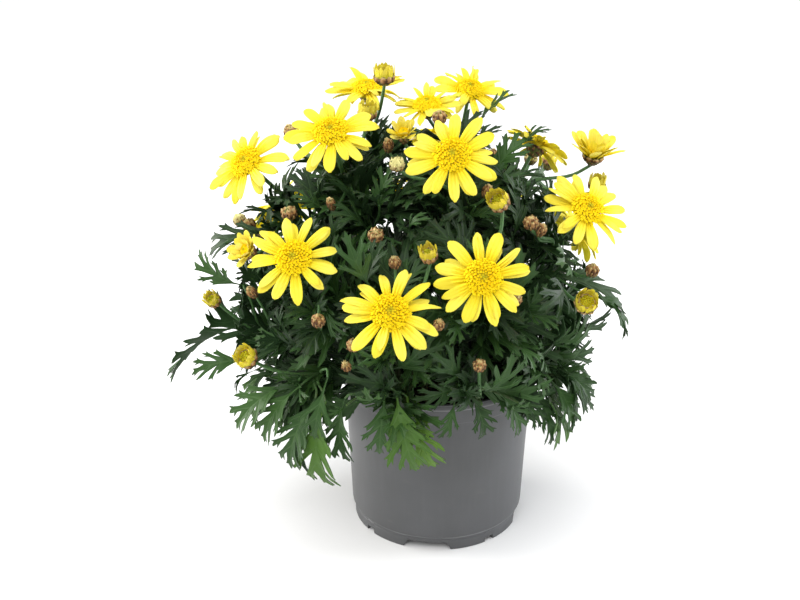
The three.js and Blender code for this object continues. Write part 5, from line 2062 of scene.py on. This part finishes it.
@dataclass
class SoilBed:
    """The compost in the pot, in millimetres, with crumbs and bark on top, in metres."""

    pot: NurseryPot
    top: float = 92.0
    gap: float = 0.6
    rings: int = 26
    sides: int = 96
    relief: float = 1.5
    waves: int = 14
    seed: int = 19
    crumb_seed: int = 12
    crumb_density: float = 140000.0
    smallest_crumb: float = 0.0006
    largest_crumb: float = 0.0027

    def _bed(self) -> Form:
        """The closed body of soil, lumpy on top."""
        turns = even_turns(self.sides)
        pot, gap = self.pot, self.gap
        wall = [
            (pot.foot_radius - 3.4 - gap, pot.floor_top + 0.3),
            (pot.foot_radius - 2.0 - gap, pot.floor_top + 4.2),
            (pot.wall_foot - 1.1 - gap, pot.floor_top + 14),
            (pot.wall_top - 1.6 - gap - 0.1, self.top - 4),
        ]
        rows = [ring_of(r, z, turns) for r, z in wall]
        between = Seeded(self.seed).between
        waves = [(between(0.05, 0.32), between(0, 6.28), between(0, 6.28)) for _ in range(self.waves)]
        for k in range(self.rings):
            part = 1 - k / self.rings
            flat = ring_of(wall[-1][0] * part, 0.0, turns)
            lumps = np.zeros(self.sides)
            for pace, way, phase in waves:
                along = flat[:, 0] * cos(way) + flat[:, 1] * sin(way)
                lumps += np.sin(along * pace * 3 + phase)
            flat[:, 2] = self.top - 0.8 + 0.32 * self.relief * lumps * min(1.0, k / 2) - 1.4 * (part > 0.95)
            rows.append(flat)
        form = lathe(rows)
        form.points = (form.points + (*pot.axis, 0)) * MM
        form.values["tone"] = np.zeros(len(form.points))
        return form

    def dress(self) -> None:
        """Makes the soil and its crumbs and puts them in for the node."""
        bed = self._bed().mesh("soil_bed", 80.0)
        sizes = {"smallest": self.smallest_crumb, "largest": self.largest_crumb}
        values = {"density": self.crumb_density, "seed": self.crumb_seed, **sizes}
        finish_piece(grown("potting_soil", bed, crumb_tree(), COMPOST, **values), Slot.SOIL, ["soil"])


# The studio


@dataclass(frozen=True)
class Lamp:
    """A soft square light: its place, what it points at, its size in metres and its power."""

    name: str
    at: Point
    towards: Point
    size: float
    power: float
    tint: Point = (1.0, 1.0, 1.0)


@dataclass
class Studio:
    """The camera, the pale floor and soft lights."""

    pitch: float = 22.18
    lens: float = 54.0
    sensor: float = 36.0
    floor_half: float = 6.0
    world: float = 0.68
    sun_from: Point = (-0.35, -0.85, 1.25)
    sun_spread: float = 0.9
    sun: float = 1.65
    lamps: tuple[Lamp, ...] = (
        Lamp("overhead", (0.0, 0.0, 1.5), (0.0, 0.0, 0.15), 1.4, 7.0),
        Lamp("side_left", (-1.3, 0.3, 0.4), (0.0, 0.0, 0.1), 0.9, 22.0, (1.0, 0.98, 0.94)),
        Lamp("side_right", (1.3, 0.3, 0.4), (0.0, 0.0, 0.1), 0.9, 15.0, (0.93, 0.96, 1.0)),
    )

    def build(self) -> None:
        """Makes the floor, the lights, the world and the camera."""
        scene = bpy.context.scene
        scene.view_settings.view_transform = "Standard"
        half = self.floor_half
        corners = np.array([(-half, -half, 0), (half, -half, 0), (half, half, 0), (-half, half, 0)])
        mesh = Form(corners, [(0, 1, 2, 3)]).mesh("floor")
        mesh.materials.append(STUDIO_FLOOR.material())
        stand("floor", mesh)
        for lamp in self.lamps:
            light = bpy.data.lights.new(lamp.name, "AREA")
            light.shape, light.size, light.energy, light.color = "SQUARE", lamp.size, lamp.power, lamp.tint
            self._aim(light, Vector(lamp.at), Vector(lamp.towards))
        light = bpy.data.lights.new("front_sun", "SUN")
        light.angle, light.energy = self.sun_spread, self.sun
        self._aim(light, Vector(self.sun_from), Vector())
        scene.world = bpy.data.worlds.new("studio")
        scene.world.use_nodes = True
        graph = Graph(scene.world.node_tree)
        sky = {"Color": (1.0, 1.0, 1.0, 1.0), "Strength": self.world}
        sky = graph.node("ShaderNodeBackground", None, sky)
        graph.node("ShaderNodeOutputWorld", None, {"Surface": sky})
        camera = bpy.data.cameras.new("camera")
        camera.lens, camera.sensor_width, camera.sensor_fit = self.lens, self.sensor, "HORIZONTAL"
        camera.clip_start, camera.clip_end = 0.01, 50.0
        scene.camera = stand("camera", camera)
        scene.camera.location = Vector(EYE_MM) * MM
        scene.camera.rotation_euler = (radians(90 - self.pitch), 0, 0)

    @staticmethod
    def _aim(light: bpy.types.Light, at: Vector, towards: Vector) -> None:
        """Puts a light into the scene, pointed at a place."""
        holder = stand(light.name, light)
        holder.location = at
        holder.rotation_euler = (towards - at).to_track_quat("-Z", "Y").to_euler()


def main() -> None:
    """Builds the whole scene, one sub-assembly after another."""
    logging.basicConfig(level=logging.INFO, format="%(name)s %(message)s")
    Studio().build()
    pot = NurseryPot()
    pot.dress()
    bed = SoilBed(pot)
    bed.dress()
    plant = Plant(pot, bed.top)
    thicket = Thicket(plant)
    log.info("%d main leaves, %d finer leaves", len(plant.leaves), len(thicket.leaves))
    log.info("%d twigs, %d small buds", len(thicket.twig_lines), len(thicket.buds))
    heads = FlowerHeads()
    for head in HEADS:
        if head.kind is not Opening.CLOSED:
            heads.dress(head)
    foliage = Foliage(plant, thicket, heads)
    for stem in range(len(STEM_LINES)):
        foliage.dress(stem)
    bpy.context.view_layer.update()


if __name__ == "__main__":
    main()
